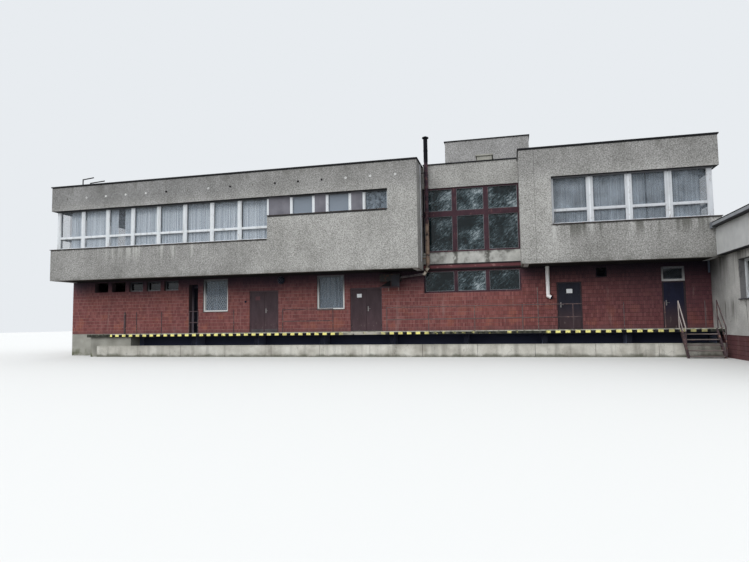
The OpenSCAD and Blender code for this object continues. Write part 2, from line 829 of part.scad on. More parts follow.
// Doors
module door_frames() {
    color(door_brown)
        for (i = [0 : len(doors) - 1]) {
            x = doors[i][0];
            w = doors[i][1];
            top = z_door_top[i];
            for (side = [x, x + w - door_frame])
                block([side, y_leaf, dock_height], [side + door_frame, y_leaf + door_frame_depth, top]);
            block([x + door_frame + 0.5, y_leaf, top - door_frame],
                  [x + w - door_frame - 0.5, y_leaf + door_frame_depth, top]);
        }
}

// The inner faces of the frame of door i, and its hinge axes at the outer face
function jamb_l(i) = doors[i][0] + door_frame;
function jamb_r(i) = doors[i][0] + doors[i][1] - door_frame;
y_hinge = y_leaf - hinge_out;
hinge_plate = 45;
hinge_plate_t = 8;

// One half of a hinge with its plate towards +X when side is 1, or towards -X when side is -1
module hinge_half(x, z, side) {
    translate([x, y_hinge, z]) cylinder(r = hinge_r, h = hinge_h);
    x_end = x + side * hinge_plate;
    block([min(x, x_end), y_leaf - hinge_plate_t, z], [max(x, x_end), y_leaf, z + hinge_h]);
}

hinge_play = 0.3;
module door_hinges() {
    color("#4a4646")
        for (i = [0 : len(doors) - 1], z = hinge_levels) {
            if (doors[i][3] == 2)
                hinge_half(jamb_l(i) + leaf_gap / 2, dock_height + z, -1);
            hinge_half(jamb_r(i) - leaf_gap / 2, dock_height + z, 1);
        }
}

// A leaf from x0 to x1, hung at its left edge when side is 1, or at its right edge when side is -1.
// Of a pair, only the right leaf has handles.
module leaf(x0, x1, top, side) {
    x_pin = side > 0 ? x0 - leaf_gap / 2 : x1 + leaf_gap / 2;
    color(door_brown) {
        block([x0, y_leaf, dock_height + leaf_lift], [x1, y_leaf + leaf_t, top - door_frame - leaf_gap]);
        for (z = hinge_levels)
            hinge_half(x_pin, dock_height + z + hinge_h + hinge_play, side);
        if (side < 0)
            for (face = [-1, 1])
                handle(x0 + handle_in, face > 0 ? y_leaf + leaf_t : y_leaf, face);
    }
}

// A lever on a plate, on the outer face when face is -1 and on the inner face when it is 1
handle_in = 90;
plate_w = 44;
plate_h = 220;
plate_t = 8;
lever_out = 48;
lever_l = 115;
lever_r = 10;
module handle(x, y, face) {
    z = dock_height + handle_z;
    y_tip = y + face * lever_out;
    block([x - plate_w / 2, min(y, y + face * plate_t), z - plate_h / 2],
          [x + plate_w / 2, max(y, y + face * plate_t), z + plate_h / 2]);
    tube_between([x, y, z], [x, y_tip, z], lever_r);
    translate([x, y_tip, z]) sphere(r = lever_r);
    tube_between([x, y_tip, z], [x + lever_l, y_tip, z], lever_r);
}

function middle(i) = doors[i][0] + doors[i][1] / 2;
module left_leaf(i) { leaf(jamb_l(i) + leaf_gap, middle(i) - shut_gap / 2, z_door_top[i], 1); }
module right_leaf(i) { leaf(middle(i) + shut_gap / 2, jamb_r(i) - leaf_gap, z_door_top[i], -1); }
module first_door_left_leaf() { left_leaf(0); }
module first_door_right_leaf() { right_leaf(0); }
module second_door_left_leaf() { left_leaf(1); }
module second_door_right_leaf() { right_leaf(1); }
module third_door_leaf() { leaf(jamb_l(2) + shut_gap, jamb_r(2) - leaf_gap, z_door_top[2], -1); }
module fourth_door_leaf() { leaf(jamb_l(3) + shut_gap, jamb_r(3) - leaf_gap, z_door_top[3], -1); }

// Dock
module dock_slab() {
    color("#a9a79d")
        block([x_left + dock_x, y_dock, dock_height - dock_slab_t], [x_right, y_ground, dock_height]);
}

kerb_pitch = (main_length - kerb_x) / kerb_count;
module dock_kerb() {
    color("#c2c0b8")
        for (i = [0 : kerb_count - 1])
            block([x_left + kerb_x + i * kerb_pitch, y_dock, 0],
                  [x_left + kerb_x + (i + 1) * kerb_pitch - kerb_joint, y_dock + kerb_t, kerb_height]);
}

// Under the dock: a solid end, a strip footing behind the kerb and cross walls set back from it
footing_d = 200;
footing_h = 150;
module dock_supports() {
    z = dock_height - dock_slab_t;
    x0 = x_left + dock_x + 130;
    x1 = x0 + dock_end_width;
    y_in = y_dock + kerb_t;
    span = x_right - pier_t - x1;
    color(concrete) {
        block([x0, y_in, 0], [x1, y_ground, z]);
        block([x1 + joint, y_in, 0], [x_right, y_in + footing_d, footing_h]);
        for (i = [1 : pier_count])
            block([x1 + i * span / pier_count, y_in + footing_d + joint, 0],
                  [x1 + i * span / pier_count + pier_t, y_ground, z]);
    }
}

// Railing along the dock edge: upright posts, and rails cut to fit round them
y_rail = y_dock + rail_edge;
x_stair = x_right - stair_x;
x_stair_end = x_stair + stair_width;
x_return = x_stair_end - return_post;
x_thick = x_left + thick_post_x;
x_lone = [for (x = lone_posts) x_left + x];
x_railed = [for (pair = railed_posts) [for (x = pair) x_left + x]];
x_row = [for (x = row_posts) x_bay_l + x];
x_beside = [for (x = stair_posts) x_right - x];
x_tall = x_bay_l + tall_post_x;
x_row_end = x_row[len(x_row) - 1] + row_tail;
x_handrails = [x_stair - rail_r, x_stair_end + rail_r];
x_thin = concat(x_lone, [for (pair = x_railed) for (x = pair) x], x_row, x_beside, [x_return]);
module post(x, h) {
    translate([x, y_rail, dock_height]) cylinder(r = rail_r, h = h);
}

module dock_posts() {
    color(rail_brown) {
        for (x = x_thin) post(x, rail_height);
        post(x_tall, tall_post_height);
        translate([x_thick, y_rail, dock_height]) cylinder(r = thick_post_r, h = rail_height);
    }
}

thin_rail_r = 0.9 * rail_r;
module rail(x0, x1, h) {
    tube_between([x0, y_rail, dock_height + h], [x1, y_rail, dock_height + h], thin_rail_r);
}

module dock_rails() {
    top = rail_height - thin_rail_r - 2;
    color(rail_brown)
        difference() {
            for (h = [low_rail_height, top]) {
                for (pair = x_railed) rail(pair[0], pair[1], h);
                rail(x_row[0], x_row_end, h);
            }
            rail(x_beside[0], x_handrails[0], top);
            rail(x_return, x_handrails[1], top);
            for (x = concat(x_thin, [x_tall], x_handrails))
                translate([x, y_rail, dock_height - 1]) cylinder(r = rail_r, h = tall_post_height + 2);
        }
}

// Handrails down the stair, fixed to the outer sides of its stringers
stair_run = tread_count * tread_going;
y_stair_foot = y_dock - stair_run;
foot_post = 60;
module stair_handrail(x) {
    top = [x, y_rail, dock_height + rail_height];
    foot = [x, y_stair_foot + foot_post, rail_height + tread_foot];
    drop = [0, 0, low_rail_height - rail_height];
    tube_between([x, y_rail, dock_height], top, rail_r);
    translate(top) sphere(r = rail_r + 2);
    tube_between(top, foot, rail_r);
    translate(foot) sphere(r = rail_r + 2);
    tube_between([x, y_stair_foot + foot_post, tread_foot], foot, rail_r);
    tube_between(top + drop, foot + drop, rail_r * 0.8);
}

module stair_handrails() {
    color(rail_brown)
        for (x = x_handrails) stair_handrail(x);
}

module stringer(x) {
    translate([x, 0, 0])
        rotate([90, 0, 90])
            linear_extrude(stringer_t)
                polygon([[y_dock, dock_height], [y_dock, dock_height - stringer_h],
                         [y_stair_foot + stringer_h / 2, 0], [y_stair_foot, 0], [y_stair_foot, tread_foot]]);
}

module stair_stringers() {
    color(rail_brown) {
        stringer(x_stair);
        stringer(x_stair_end - stringer_t);
    }
}

module stair_treads() {
    rise = (dock_height - tread_foot) / tread_count;
    color(rail_brown)
        for (i = [0 : tread_count - 1])
            translate([x_stair + stringer_t, y_stair_foot + i * tread_going, tread_foot + i * rise - tread_t])
                cube([stair_width - 2 * stringer_t, tread_depth, tread_t]);
}

// Flue, heater and other wall fittings
x_flue = x_bay_l + flue_side;
y_flue = y_ground - flue_front;
x_heater = x_bay_l - heater_x;
z_heater = z_soffit - heater_drop;
bracket = 40;
bracket_z = [1050, 200, 330];
flue_turn = 170;
flue_knee = 120;
duct_drop = 290;
duct_run_in = [100, 0, 12];
flue_cone = 60;
flue_cap_t = 40;
flue_sleeve_up = 200;
flue_sleeve_t = 8;
module flue_pipe() {
    top = z_top + coping_t + flue_above;
    knee = [x_flue, y_flue, z_soffit + flue_knee];
    turn = [x_flue - flue_turn, y_flue, z_soffit - flue_turn];
    inlet = [x_heater, y_flue, z_soffit - duct_drop];
    color("#4b3433") {
        translate(knee) cylinder(r = flue_r, h = top - knee[2]);
        translate([x_flue, y_flue, z_top + flue_sleeve_up])
            cylinder(r = flue_r + flue_sleeve_t, h = top - z_top - flue_sleeve_up);
        translate([x_flue, y_flue, top]) cylinder(r = flue_cap_r, h = flue_cap_t);
        translate([x_flue, y_flue, top + flue_cap_t]) cylinder(r1 = flue_cap_r, r2 = flue_cone / 2, h = flue_cone);
        translate(knee) sphere(r = flue_r + 3);
        tube_between(knee, turn, flue_r * 0.9);
        translate(turn) sphere(r = flue_r * 0.9 + 3);
        difference() {
            tube_between(turn, inlet - duct_run_in, duct_r);
            block([x_heater - heater_width, y_flue - 2 * duct_r, z_soffit - 2 * duct_drop],
                  [x_heater, y_flue + 2 * duct_r, z_soffit]);
        }
        for (z = [z_sill - bracket_z[0], z_ribbon - bracket_z[1], z_top - bracket_z[2]])
            block([x_bay_l, y_flue - bracket / 2, z], [x_flue, y_flue + bracket / 2, z + bracket]);
    }
}

leg_r = 9;
leg_l = 280;
module wall_heater() {
    color("#4a4c4f") {
        block([x_heater - heater_width, y_ground - heater_depth, z_heater - heater_height],
              [x_heater, y_ground, z_heater]);
        for (x = [x_heater - 0.14 * heater_width, x_heater - 0.62 * heater_width])
            translate([x, y_ground - heater_depth / 2, z_heater - heater_height - leg_l])
                cylinder(r = leg_r, h = leg_l + 20);
    }
}

module downpipe() {
    top = [x_bay_r + downpipe_x, y_ground - downpipe_r - 20, z_soffit];
    bend = top - [0, 0, downpipe_length];
    color("#d8d4cf") {
        tube_between(bend, top, downpipe_r);
        translate(bend) sphere(r = downpipe_r + 3);
        tube_between(bend, bend + [150, -60, -90], downpipe_r);
        for (z = [0.3, 0.7] * downpipe_length)
            block([top[0] - bracket / 2, top[1], z_soffit - z], [top[0] + bracket / 2, y_ground, z_soffit - z + bracket]);
    }
}

// Louvre of fixed slats that fills the vent hole
slat_count = 6;
module vent_grille() {
    x = x_bay_r + vent_x;
    z = z_soffit - vent_drop - vent_height;
    bar = 30;
    pitch = (vent_height - bar) / slat_count;
    color("#1b2330") {
        lattice([x + bar / 2, x + vent_width - bar / 2], row(z + bar / 2, vent_height - bar, 1),
                [bar, bar], [bar, bar], y_ground + 30, 60);
        for (i = [1 : slat_count - 1])
            block([x + bar / 2, y_ground + 45, z + i * pitch], [x + vent_width - bar / 2, y_ground + 75, z + i * pitch + 16]);
    }
}

module wall_lamp() {
    color("#22252c")
        translate([x_left + lamp_x, y_ground, z_soffit - 40 - lamp_r])
            rotate([90, 0, 0]) {
                cylinder(r = lamp_r * 0.6, h = 60);
                translate([0, 0, 60]) cylinder(r1 = lamp_r, r2 = lamp_r * 0.75, h = 70);
            }
}

// Side wing
plinth_out = 20;
module annex_base() {
    floor_t = dock_height - annex_plinth;
    color(tile_red) {
        block([x_right, y_annex_front - plinth_out, 0], [x_annex + plinth_out, y_annex_back + plinth_out, annex_plinth]);
        block([x_right + wall, y_annex_front + wall, annex_plinth],
              [x_annex - wall, y_annex_back - wall, annex_plinth + floor_t]);
    }
}

// Window middles along the side walls, counted from the front end
function annex_y(i) = y_annex_front + annex_pitch * (i + 0.5);
annex_left_count = floor((y_front - y_annex_front) / annex_pitch);
annex_right_count = floor((y_annex_back - y_annex_front) / annex_pitch);
module annex_window_x(x, y) {
    block([x - 1, y - annex_window_width / 2, annex_sill],
          [x + wall + 1, y + annex_window_width / 2, annex_sill + annex_window_height]);
}

module annex_side_walls() {
    color("#aeb0ad")
        difference() {
            for (x = [x_right, x_annex - wall])
                block([x, y_annex_front + wall, annex_plinth], [x + wall, y_annex_back - wall, annex_wall_top]);
            for (i = [0 : annex_left_count - 1]) annex_window_x(x_right, annex_y(i));
            for (i = [0 : annex_right_count - 1]) annex_window_x(x_annex - wall, annex_y(i));
        }
}

function annex_end_x(i) = x_right + annex_width * (0.27 + 0.46 * i);
module annex_end_walls() {
    color("#aeb0ad")
        difference() {
            for (y = [y_annex_front, y_annex_back - wall])
                block([x_right, y, annex_plinth], [x_annex, y + wall, annex_wall_top]);
            for (y = [y_annex_front, y_annex_back - wall], i = [0, 1])
                block([annex_end_x(i) - annex_window_width / 2, y - 1, annex_sill],
                      [annex_end_x(i) + annex_window_width / 2, y + wall + 1, annex_sill + annex_window_height]);
        }
}

// The ceiling slab, and the roof deck inside the fascia
annex_deck_t = 160;
module annex_roof() {
    z1 = annex_wall_top + fascia_height - 20;
    in = fascia_t + joint;
    y0 = y_annex_front - fascia_out + in;
    color("#8f918f") {
        block([x_right, y_annex_front, annex_wall_top], [x_annex, y_annex_back, annex_wall_top + annex_roof_t]);
        block([x_right, y0, z1 - annex_deck_t], [x_annex + fascia_out - in, y_annex_back + fascia_out - in, z1]);
        block([x_right - fascia_out + in, y0, z1 - annex_deck_t], [x_right - joint, y_front, z1]);
    }
}

// The deep fascia: one board to a side, each with the strip of soffit behind its lower edge
module annex_fascia() {
    z0 = annex_wall_top;
    z1 = annex_wall_top + fascia_height;
    zs = z0 + 60;
    x0 = x_right - fascia_out;
    x1 = x_annex + fascia_out;
    y0 = y_annex_front - fascia_out;
    y1 = y_annex_back + fascia_out;
    xi = x0 + fascia_t;
    xj = x1 - fascia_t;
    yi = y0 + fascia_t;
    color("#b4b7b6") {
        block([x0, y0, z0], [xi, y_front, z1]);
        block([x0, yi + joint, z0], [x_right - joint, y_front, zs]);
        block([xi + joint, y0, z0], [xj - joint, yi, z1]);
        block([x_right, y0, z0], [x_annex - joint, y_annex_front, zs]);
        block([xj, y0, z0], [x1, y1, z1]);
        block([x_annex, yi + joint, z0], [x1, y1 - fascia_t - joint, zs]);
        block([x_right, y1 - fascia_t, z0], [xj - joint, y1, z1]);
        block([x_right, y_annex_back, z0], [x_annex - joint, y1, zs]);
    }
}

// Box gutter along the left side of the fascia
gutter_t = 8;
module annex_gutter() {
    x1 = x_right - fascia_out;
    z1 = annex_wall_top + fascia_height - 40;
    color("#5d6166")
        difference() {
            block([x1 - gutter, y_annex_front - fascia_out, z1 - gutter], [x1, y_front, z1]);
            block([x1 - gutter + gutter_t, y_annex_front - fascia_out + gutter_t, z1 - gutter + gutter_t],
                  [x1 - gutter_t, y_front - gutter_t, z1 + 1]);
        }
}

annex_frame_in = wall - 100;
annex_bar = 80;
module annex_frame_x(y) {
    z = annex_sill;
    lattice([y - annex_window_width / 2 + annex_bar / 2, y, y + annex_window_width / 2 - annex_bar / 2],
            [z + annex_bar / 2, z + annex_window_height - annex_bar / 2],
            [annex_bar, annex_bar, annex_bar], [annex_bar, annex_bar], 0, frame_depth);
}

module annex_window_frames() {
    color(white_paint) {
        for (i = [0 : annex_left_count - 1])
            translate([x_right + annex_frame_in + frame_depth, 0, 0]) rotate([0, 0, 90]) annex_frame_x(annex_y(i));
        for (i = [0 : annex_right_count - 1])
            translate([x_annex - annex_frame_in, 0, 0]) rotate([0, 0, 90]) annex_frame_x(annex_y(i));
        for (y = [y_annex_front + annex_frame_in, y_annex_back - annex_frame_in - frame_depth], i = [0, 1])
            translate([0, y, 0]) annex_frame_x(annex_end_x(i));
    }
}

// One sheet of glass behind each window of the side wing
module annex_glass() {
    behind = annex_frame_in + frame_depth;
    half = annex_window_width / 2 - 1;
    z0 = annex_sill;
    z1 = annex_sill + annex_window_height;
    color(glass_blue, 0.6) {
        for (i = [0 : annex_left_count - 1])
            block([x_right + behind, annex_y(i) - half, z0], [x_right + behind + glass_t, annex_y(i) + half, z1]);
        for (i = [0 : annex_right_count - 1])
            block([x_annex - behind - glass_t, annex_y(i) - half, z0], [x_annex - behind, annex_y(i) + half, z1]);
        for (y = [y_annex_front + behind, y_annex_back - behind - glass_t], i = [0, 1])
            block([annex_end_x(i) - half, y, z0], [annex_end_x(i) + half, y + glass_t, z1]);
    }
}

foundation();
ground_front_wall();
door_lintels();
ground_end_walls();
ground_back_wall();
upper_floor_slab();
upper_front_walls();
upper_parapets();
upper_side_walls();
stair_bay_walls();
stair_bay_band();
upper_back_wall();
roof_slab();
coping();
roof_house_walls();
roof_house_top();
roof_vent_box();
roof_goosenecks();
front_window_frames();
ribbon_panels();
end_window_frames();
stair_window_frames();
ground_window_frames();
back_window_frames();
upper_glass();
ground_glass();
window_sills();
service_recess();
door_frames();
door_hinges();
first_door_left_leaf();
first_door_right_leaf();
second_door_left_leaf();
second_door_right_leaf();
third_door_leaf();
fourth_door_leaf();
dock_slab();
dock_kerb();
dock_supports();
dock_posts();
dock_rails();
stair_stringers();
stair_treads();
stair_handrails();
flue_pipe();
wall_heater();
downpipe();
vent_grille();
wall_lamp();
annex_base();
annex_side_walls();
annex_end_walls();
annex_roof();
annex_fascia();
annex_gutter();
annex_window_frames();
annex_glass();
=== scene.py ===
import json
import math
import random

import bpy
import numpy as np
from mathutils import Matrix, Vector


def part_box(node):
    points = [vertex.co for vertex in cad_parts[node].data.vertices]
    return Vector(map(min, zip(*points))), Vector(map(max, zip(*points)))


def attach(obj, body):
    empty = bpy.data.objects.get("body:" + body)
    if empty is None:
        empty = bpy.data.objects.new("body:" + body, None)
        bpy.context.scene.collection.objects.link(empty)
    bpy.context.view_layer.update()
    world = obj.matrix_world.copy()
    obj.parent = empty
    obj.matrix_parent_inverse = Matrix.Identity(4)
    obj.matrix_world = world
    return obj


# Looks of a two-storey factory building, in metres: +X to the right along the dock, +Y back, +Z up.

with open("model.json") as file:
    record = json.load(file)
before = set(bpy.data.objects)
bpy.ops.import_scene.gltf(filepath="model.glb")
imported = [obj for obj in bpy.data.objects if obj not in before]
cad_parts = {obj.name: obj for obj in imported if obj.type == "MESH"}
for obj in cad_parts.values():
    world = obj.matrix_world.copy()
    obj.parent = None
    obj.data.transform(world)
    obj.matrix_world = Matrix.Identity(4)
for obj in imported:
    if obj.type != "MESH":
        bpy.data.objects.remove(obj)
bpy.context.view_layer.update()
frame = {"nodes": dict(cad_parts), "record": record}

BODY = "building"
MM = 0.001

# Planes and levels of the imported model
LEFT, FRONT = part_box("upper_front_walls")[0][:2]
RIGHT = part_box("upper_front_walls")[1].x
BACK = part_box("upper_back_wall")[1].y
GROUND_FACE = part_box("ground_front_wall")[0].y
GROUND_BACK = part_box("ground_back_wall")[1].y
GROUND_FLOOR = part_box("dock_slab")[1].z
DOCK_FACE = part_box("dock_slab")[0].y
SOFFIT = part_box("ground_front_wall")[1].z
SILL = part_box("front_window_frames")[0].z
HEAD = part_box("front_window_frames")[1].z
PARAPET_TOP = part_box("upper_parapets")[1].z
BAY_LEFT, BAY_RIGHT = (corner.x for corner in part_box("stair_bay_band"))
FRAME_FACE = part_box("front_window_frames")[0].y
BAY_FRAME_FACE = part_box("stair_window_frames")[0].y
LEAF_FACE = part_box("door_frames")[0].y
INNER_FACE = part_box("upper_parapets")[1].y
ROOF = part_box("roof_slab")[1].z
ANNEX_EAVES, ANNEX_TOP = (corner.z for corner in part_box("annex_fascia"))
ANNEX_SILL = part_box("annex_window_frames")[0].z
RIBBON_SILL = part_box("ribbon_panels")[0].z
PANEL_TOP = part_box("stair_window_frames")[0].z + 1.85

# The leaves of each doorway: their thickness, where they start and end along x, and their top
LEAF_T, LEAF_EDGE = 0.045, 0.007
LEAVES = [(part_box(left)[0].x + LEAF_EDGE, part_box(right)[1].x - LEAF_EDGE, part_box(right)[1].z)
          for left, right in (("first_door_left_leaf", "first_door_right_leaf"),
                              ("second_door_left_leaf", "second_door_right_leaf"),
                              ("third_door_leaf", "third_door_leaf"),
                              ("fourth_door_leaf", "fourth_door_leaf"))]

# Places on the front that the photograph shows; a pair is where a thing starts and ends along x
CONTROL_JOINT = 8.50
MULLIONS = (5.0, 6.42)
FLUE_X, FLUE_Y, FLUE_R = 3.795, -4.62, 0.088
CONDUIT_Y, CONDUIT_R = -5.1, 0.02
BELL_X, BELL_Z = -5.335, 2.633
STRIPES = (-12.19, 14.91)
STRIPE_PAIR = 0.388
FADED = (12.6, 13.9)
WORN = (3.9, 8.9)
SCRAPED = (0.0, 1.9)
LIME = (-12.5, -4.8)
RIBBON = (-3.44, 2.22)
RIBBON_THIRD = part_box("ribbon_panels")[1].x
FIRST_POST, POST_PITCH = 9.205, 1.475
DOCK_BLOCK = -10.99
SMALL_WINDOWS_END, DARK_WINDOWS_END, SMALL_SILL = -8.4, -10.5, 3.2
LAST_DOOR = 12.5
LEFT_HANDRAIL = (13.79, 13.85)
LACE_TOP = 3.1


# Materials

def linear(colour):
    """A "#rrggbb" colour as the linear values that a shader takes."""
    parts = [int(colour[i:i + 2], 16) / 255 for i in (1, 3, 5)]
    return [c / 12.92 if c <= 0.04045 else ((c + 0.055) / 1.055) ** 2.4 for c in parts] + [1]


class Field:
    """A value that a material works out at each point. Fields add, subtract and multiply as numbers do."""

    def __init__(self, paint, socket):
        self.paint = paint
        self.socket = socket

    def __add__(self, other):
        return self.paint.math("ADD", self, other)

    def __radd__(self, other):
        return self.paint.math("ADD", other, self)

    def __sub__(self, other):
        return self.paint.math("SUBTRACT", self, other)

    def __rsub__(self, other):
        return self.paint.math("SUBTRACT", other, self)

    def __mul__(self, other):
        return self.paint.math("MULTIPLY", self, other)

    def __abs__(self):
        return self.paint.math("ABSOLUTE", self)

    def sine(self):
        return self.paint.math("SINE", self)

    def most(self, other):
        return self.paint.math("MAXIMUM", self, other)

    def least(self, other):
        return self.paint.math("MINIMUM", self, other)

    def rise(self, low, high, start=0.0, end=1.0):
        """start below low, end above high, and a smooth step between."""
        step = self.paint.add("MapRange", [self, low, high, start, end], interpolation_type="SMOOTHSTEP")
        return Field(self.paint, step.outputs[0])

    def fall(self, low, high):
        """1 below low, 0 above high."""
        return self.rise(low, high, 1, 0)

    def within(self, low, high, soft):
        """1 from low to high, falling to 0 over a soft edge."""
        return self.rise(low - soft, low + soft) * self.fall(high - soft, high + soft)

    def repeat(self, start, pitch):
        """0 to 1 along each pitch from start on."""
        return self.paint.math("FRACT", self.paint.math("DIVIDE", self - start, pitch))


class Nodes:
    """A shader tree, built node by node."""

    def __init__(self, tree):
        self.tree = tree
        tree.nodes.clear()

    def add(self, kind, inputs=(), **settings):
        """A new node. inputs go to its sockets by order or by name, and None leaves a socket alone."""
        node = self.tree.nodes.new("ShaderNode" + kind)
        for name, value in settings.items():
            setattr(node, name, value)
        for key, value in inputs.items() if isinstance(inputs, dict) else enumerate(inputs):
            if isinstance(value, Field):
                value = value.socket
            if isinstance(value, bpy.types.NodeSocket):
                self.tree.links.new(value, node.inputs[key])
            elif isinstance(value, str):
                node.inputs[key].default_value = linear(value)
            elif value is not None:
                node.inputs[key].default_value = value
        return node


class Paint(Nodes):
    """A procedural material. Places are in metres, in the frame of the model."""

    def __init__(self, name):
        self.material = bpy.data.materials.new(name)
        self.material.use_nodes = True
        super().__init__(self.material.node_tree)
        self.place = self.add("TexCoord").outputs["Object"]
        self.x, self.y, self.z = self.axes(self.place)
        self.count = 0
        self.colour = None

    def axes(self, vector):
        return [Field(self, part) for part in self.add("SeparateXYZ", [vector]).outputs]

    def math(self, operation, *values):
        return Field(self, self.add("Math", values, operation=operation).outputs[0])

    def noise(self, scale, detail=2.0, stretch=(1, 1, 1), rough=0.5, turn=0.0):
        """Noise with this many cells a metre, stretched along an axis by a share below 1. Each call draws
        its own. turn leans the pattern on a wall that faces front."""
        self.count += 1
        place = self.place
        if turn:
            leant = self.add("VectorRotate", {"Vector": place, "Angle": turn}, rotation_type="Y_AXIS")
            place = leant.outputs[0]
        shifted = self.add("Mapping", [place, (7.3 * self.count, 3.1 * self.count, 0), None, stretch])
        cells = self.add("TexNoise", {"Vector": shifted.outputs[0], "Scale": scale, "Detail": detail,
                                      "Roughness": rough})
        return Field(self, cells.outputs[0])

    def spots(self, scale, low, high, stretch=(1, 1, 1), detail=2.0):
        """A mask of patches: 0 where the noise is under low, 1 over high."""
        return self.noise(scale, detail, stretch).rise(low, high)

    def cell(self, size, origin):
        """A random number from 0 to 1 for each cell of a grid."""
        place = self.place
        for operation, value in (("SUBTRACT", origin), ("DIVIDE", size), ("FLOOR", None)):
            place = self.add("VectorMath", [place, value], operation=operation).outputs[0]
        return self.add("TexWhiteNoise", [place], noise_dimensions="3D").outputs[0]

    def ramp(self, value, *stops):
        node = self.add("ValToRGB", [value])
        elements = node.color_ramp.elements
        while len(elements) < len(stops):
            elements.new(0.5)
        for element, (position, colour) in zip(elements, stops):
            element.position = position
            element.color = linear(colour)
        return node.outputs[0]

    def mix(self, first, second, share, blend="MIX"):
        node = self.add("Mix", {0: share, 6: first, 7: second}, data_type="RGBA", blend_type=blend)
        return node.outputs[2]

    def lay(self, colour, share, blend="MIX"):
        """Puts a colour over what is painted so far."""
        self.colour = self.mix(self.colour, colour, share, blend)

    def done(self, roughness=0.8, metallic=0.0, height=None, depth=0.002, alpha=None, **sockets):
        """The finished shader. depth is the height of the bumps in metres."""
        values = {"Base Color": self.colour, "Roughness": roughness, "Metallic": metallic,
                  "Specular IOR Level": 0.2}
        values.update({name.replace("_", " "): value for name, value in sockets.items()})
        if alpha is not None:
            values["Alpha"] = alpha
        if height is not None:
            bump = self.add("Bump", {"Strength": 1.0, "Distance": depth, "Height": height})
            values["Normal"] = bump.outputs[0]
        shader = self.add("BsdfPrincipled", values)
        self.add("OutputMaterial", [shader.outputs[0]])
        return self.material


def paint(name):
    """A new material, and the x, y and z that it is painted by."""
    p = Paint(name)
    return p, p.x, p.y, p.z


def roughcast_coat(p):
    """Colour and height of thrown pebble render."""
    pebbles = p.noise(22, 3, rough=0.6) * 0.55 + p.noise(60, 3, rough=0.7) * 0.45
    colour = p.ramp(pebbles, (0.37, "#6f6e6a"), (0.5, "#aaa9a5"), (0.63, "#d7d6d2"))
    cloud = p.ramp(p.noise(0.7, 5, (1, 1, 0.7), rough=0.65), (0.34, "#dadad9"), (0.66, "#ffffff"))
    return p.mix(colour, cloud, 1.0, "MULTIPLY"), pebbles


def roughcast():
    """Render on the walls: duller on the parapets and under the long windows, streaked below the sills, with
    painted shadow lines under the window heads, under the copings and under the ribbon windows.
    """
    p, x, y, z = paint("roughcast")
    p.colour, height = roughcast_coat(p)
    right = x.rise(FIRST_POST - 0.15, FIRST_POST)
    windows = x.fall(RIBBON[0] - 0.1, RIBBON[0]) + right
    below = z.fall(SILL, SILL + 0.04)
    house = z.rise(PARAPET_TOP + 0.1, PARAPET_TOP + 0.2)
    high = z.rise(HEAD - 0.5, HEAD + 0.6) * (1 - house)
    sides = x.fall(RIBBON[0] - 2.5, RIBBON[0] + 1.5) + x.rise(8.0, 11.5, 0, 0.8)
    p.lay("#dcdcdd", high.most(sides * below * 0.8), "MULTIPLY")
    p.lay("#f4f5f7", high * x.fall(RIBBON[0] - 5, RIBBON[0] + 3), "MULTIPLY")
    p.lay("#ebebee", house, "MULTIPLY")
    under = z.rise(SILL - 1.1, SILL - 0.05) * below
    p.lay("#cfcfc9", p.spots(1.0, 0.54, 0.66, (4.5, 4.5, 0.2), 4) * under * x.within(*LIME, 1.2) * 0.45)
    from_post = abs(x.repeat(FIRST_POST - POST_PITCH / 2, POST_PITCH) - 0.5) * POST_PITCH
    wander = from_post + p.noise(4, 3, (1, 1, 0.3)) * 0.14
    washed = wander.fall(0.08, 0.2) * under * right * p.spots(1.0, 0.35, 0.6, (5, 5, 0.5))
    p.lay("#c2c2be", washed * 0.75)
    smudge = p.spots(1.0, 0.44, 0.6, (4.5, 4.5, 0.22), 4) * z.rise(SILL - 0.85, SILL - 0.1) * below * right
    p.lay("#55554f", smudge * wander.rise(0.16, 0.3) * 0.75)
    ragged = z + p.noise(9, 3, (1, 1, 0.3)) * 0.1
    line = ragged.rise(SILL - 0.02, SILL + 0.01) * z.fall(SILL + 0.02, SILL + 0.03) * windows
    p.lay("#3c3b38", line * 0.7)
    p.lay("#55554f", z.fall(SOFFIT + 0.02, SOFFIT + 0.24) * p.spots(2.0, 0.35, 0.6) * 0.4)
    runs = z.within(PARAPET_TOP - 0.3, PARAPET_TOP, 0.2) * p.spots(1.0, 0.45, 0.7, (3, 3, 0.15), 3)
    p.lay("#5d5c57", runs * 0.5)
    p.lay("#4b4a46", x.rise(RIGHT - 1.5, RIGHT) * z.fall(SOFFIT, SILL) * below * 0.4)
    front = y.fall(FRONT + 0.02, FRONT + 0.05)
    p.lay("#2e2d2b", x.within(CONTROL_JOINT - 0.006, CONTROL_JOINT + 0.006, 0.004) * front * 0.7)
    # Painted shadow: a dark line on the undersides of the window heads.
    p.lay("#222226", z.within(HEAD - MM, HEAD + MM, MM) * y.rise(FRONT + 0.01, FRONT + 0.02) * 0.9)
    # Painted shadow: dark lines along the top of the parapet under the coping, and under the ledge of the
    # ribbon windows.
    edge = z.within(PARAPET_TOP - 0.04, PARAPET_TOP + 0.02, 0.006)
    ledge = z.within(RIBBON_SILL - 0.07, RIBBON_SILL, 0.012) * x.within(*RIBBON, 0.02)
    p.lay("#17171c", edge.most(ledge) * front * 0.85)
    wings = x.within(LEFT + 0.1, BAY_LEFT - 0.1, MM) + x.within(BAY_RIGHT + 0.1, RIGHT - 0.1, MM)
    p.lay("#dfe5e7", wings * y.within(INNER_FACE - 2 * MM, BACK - 0.1, MM) * z.fall(ROOF - 0.21, ROOF - 0.2))
    return p.done(roughness=0.95, height=height, depth=0.008)


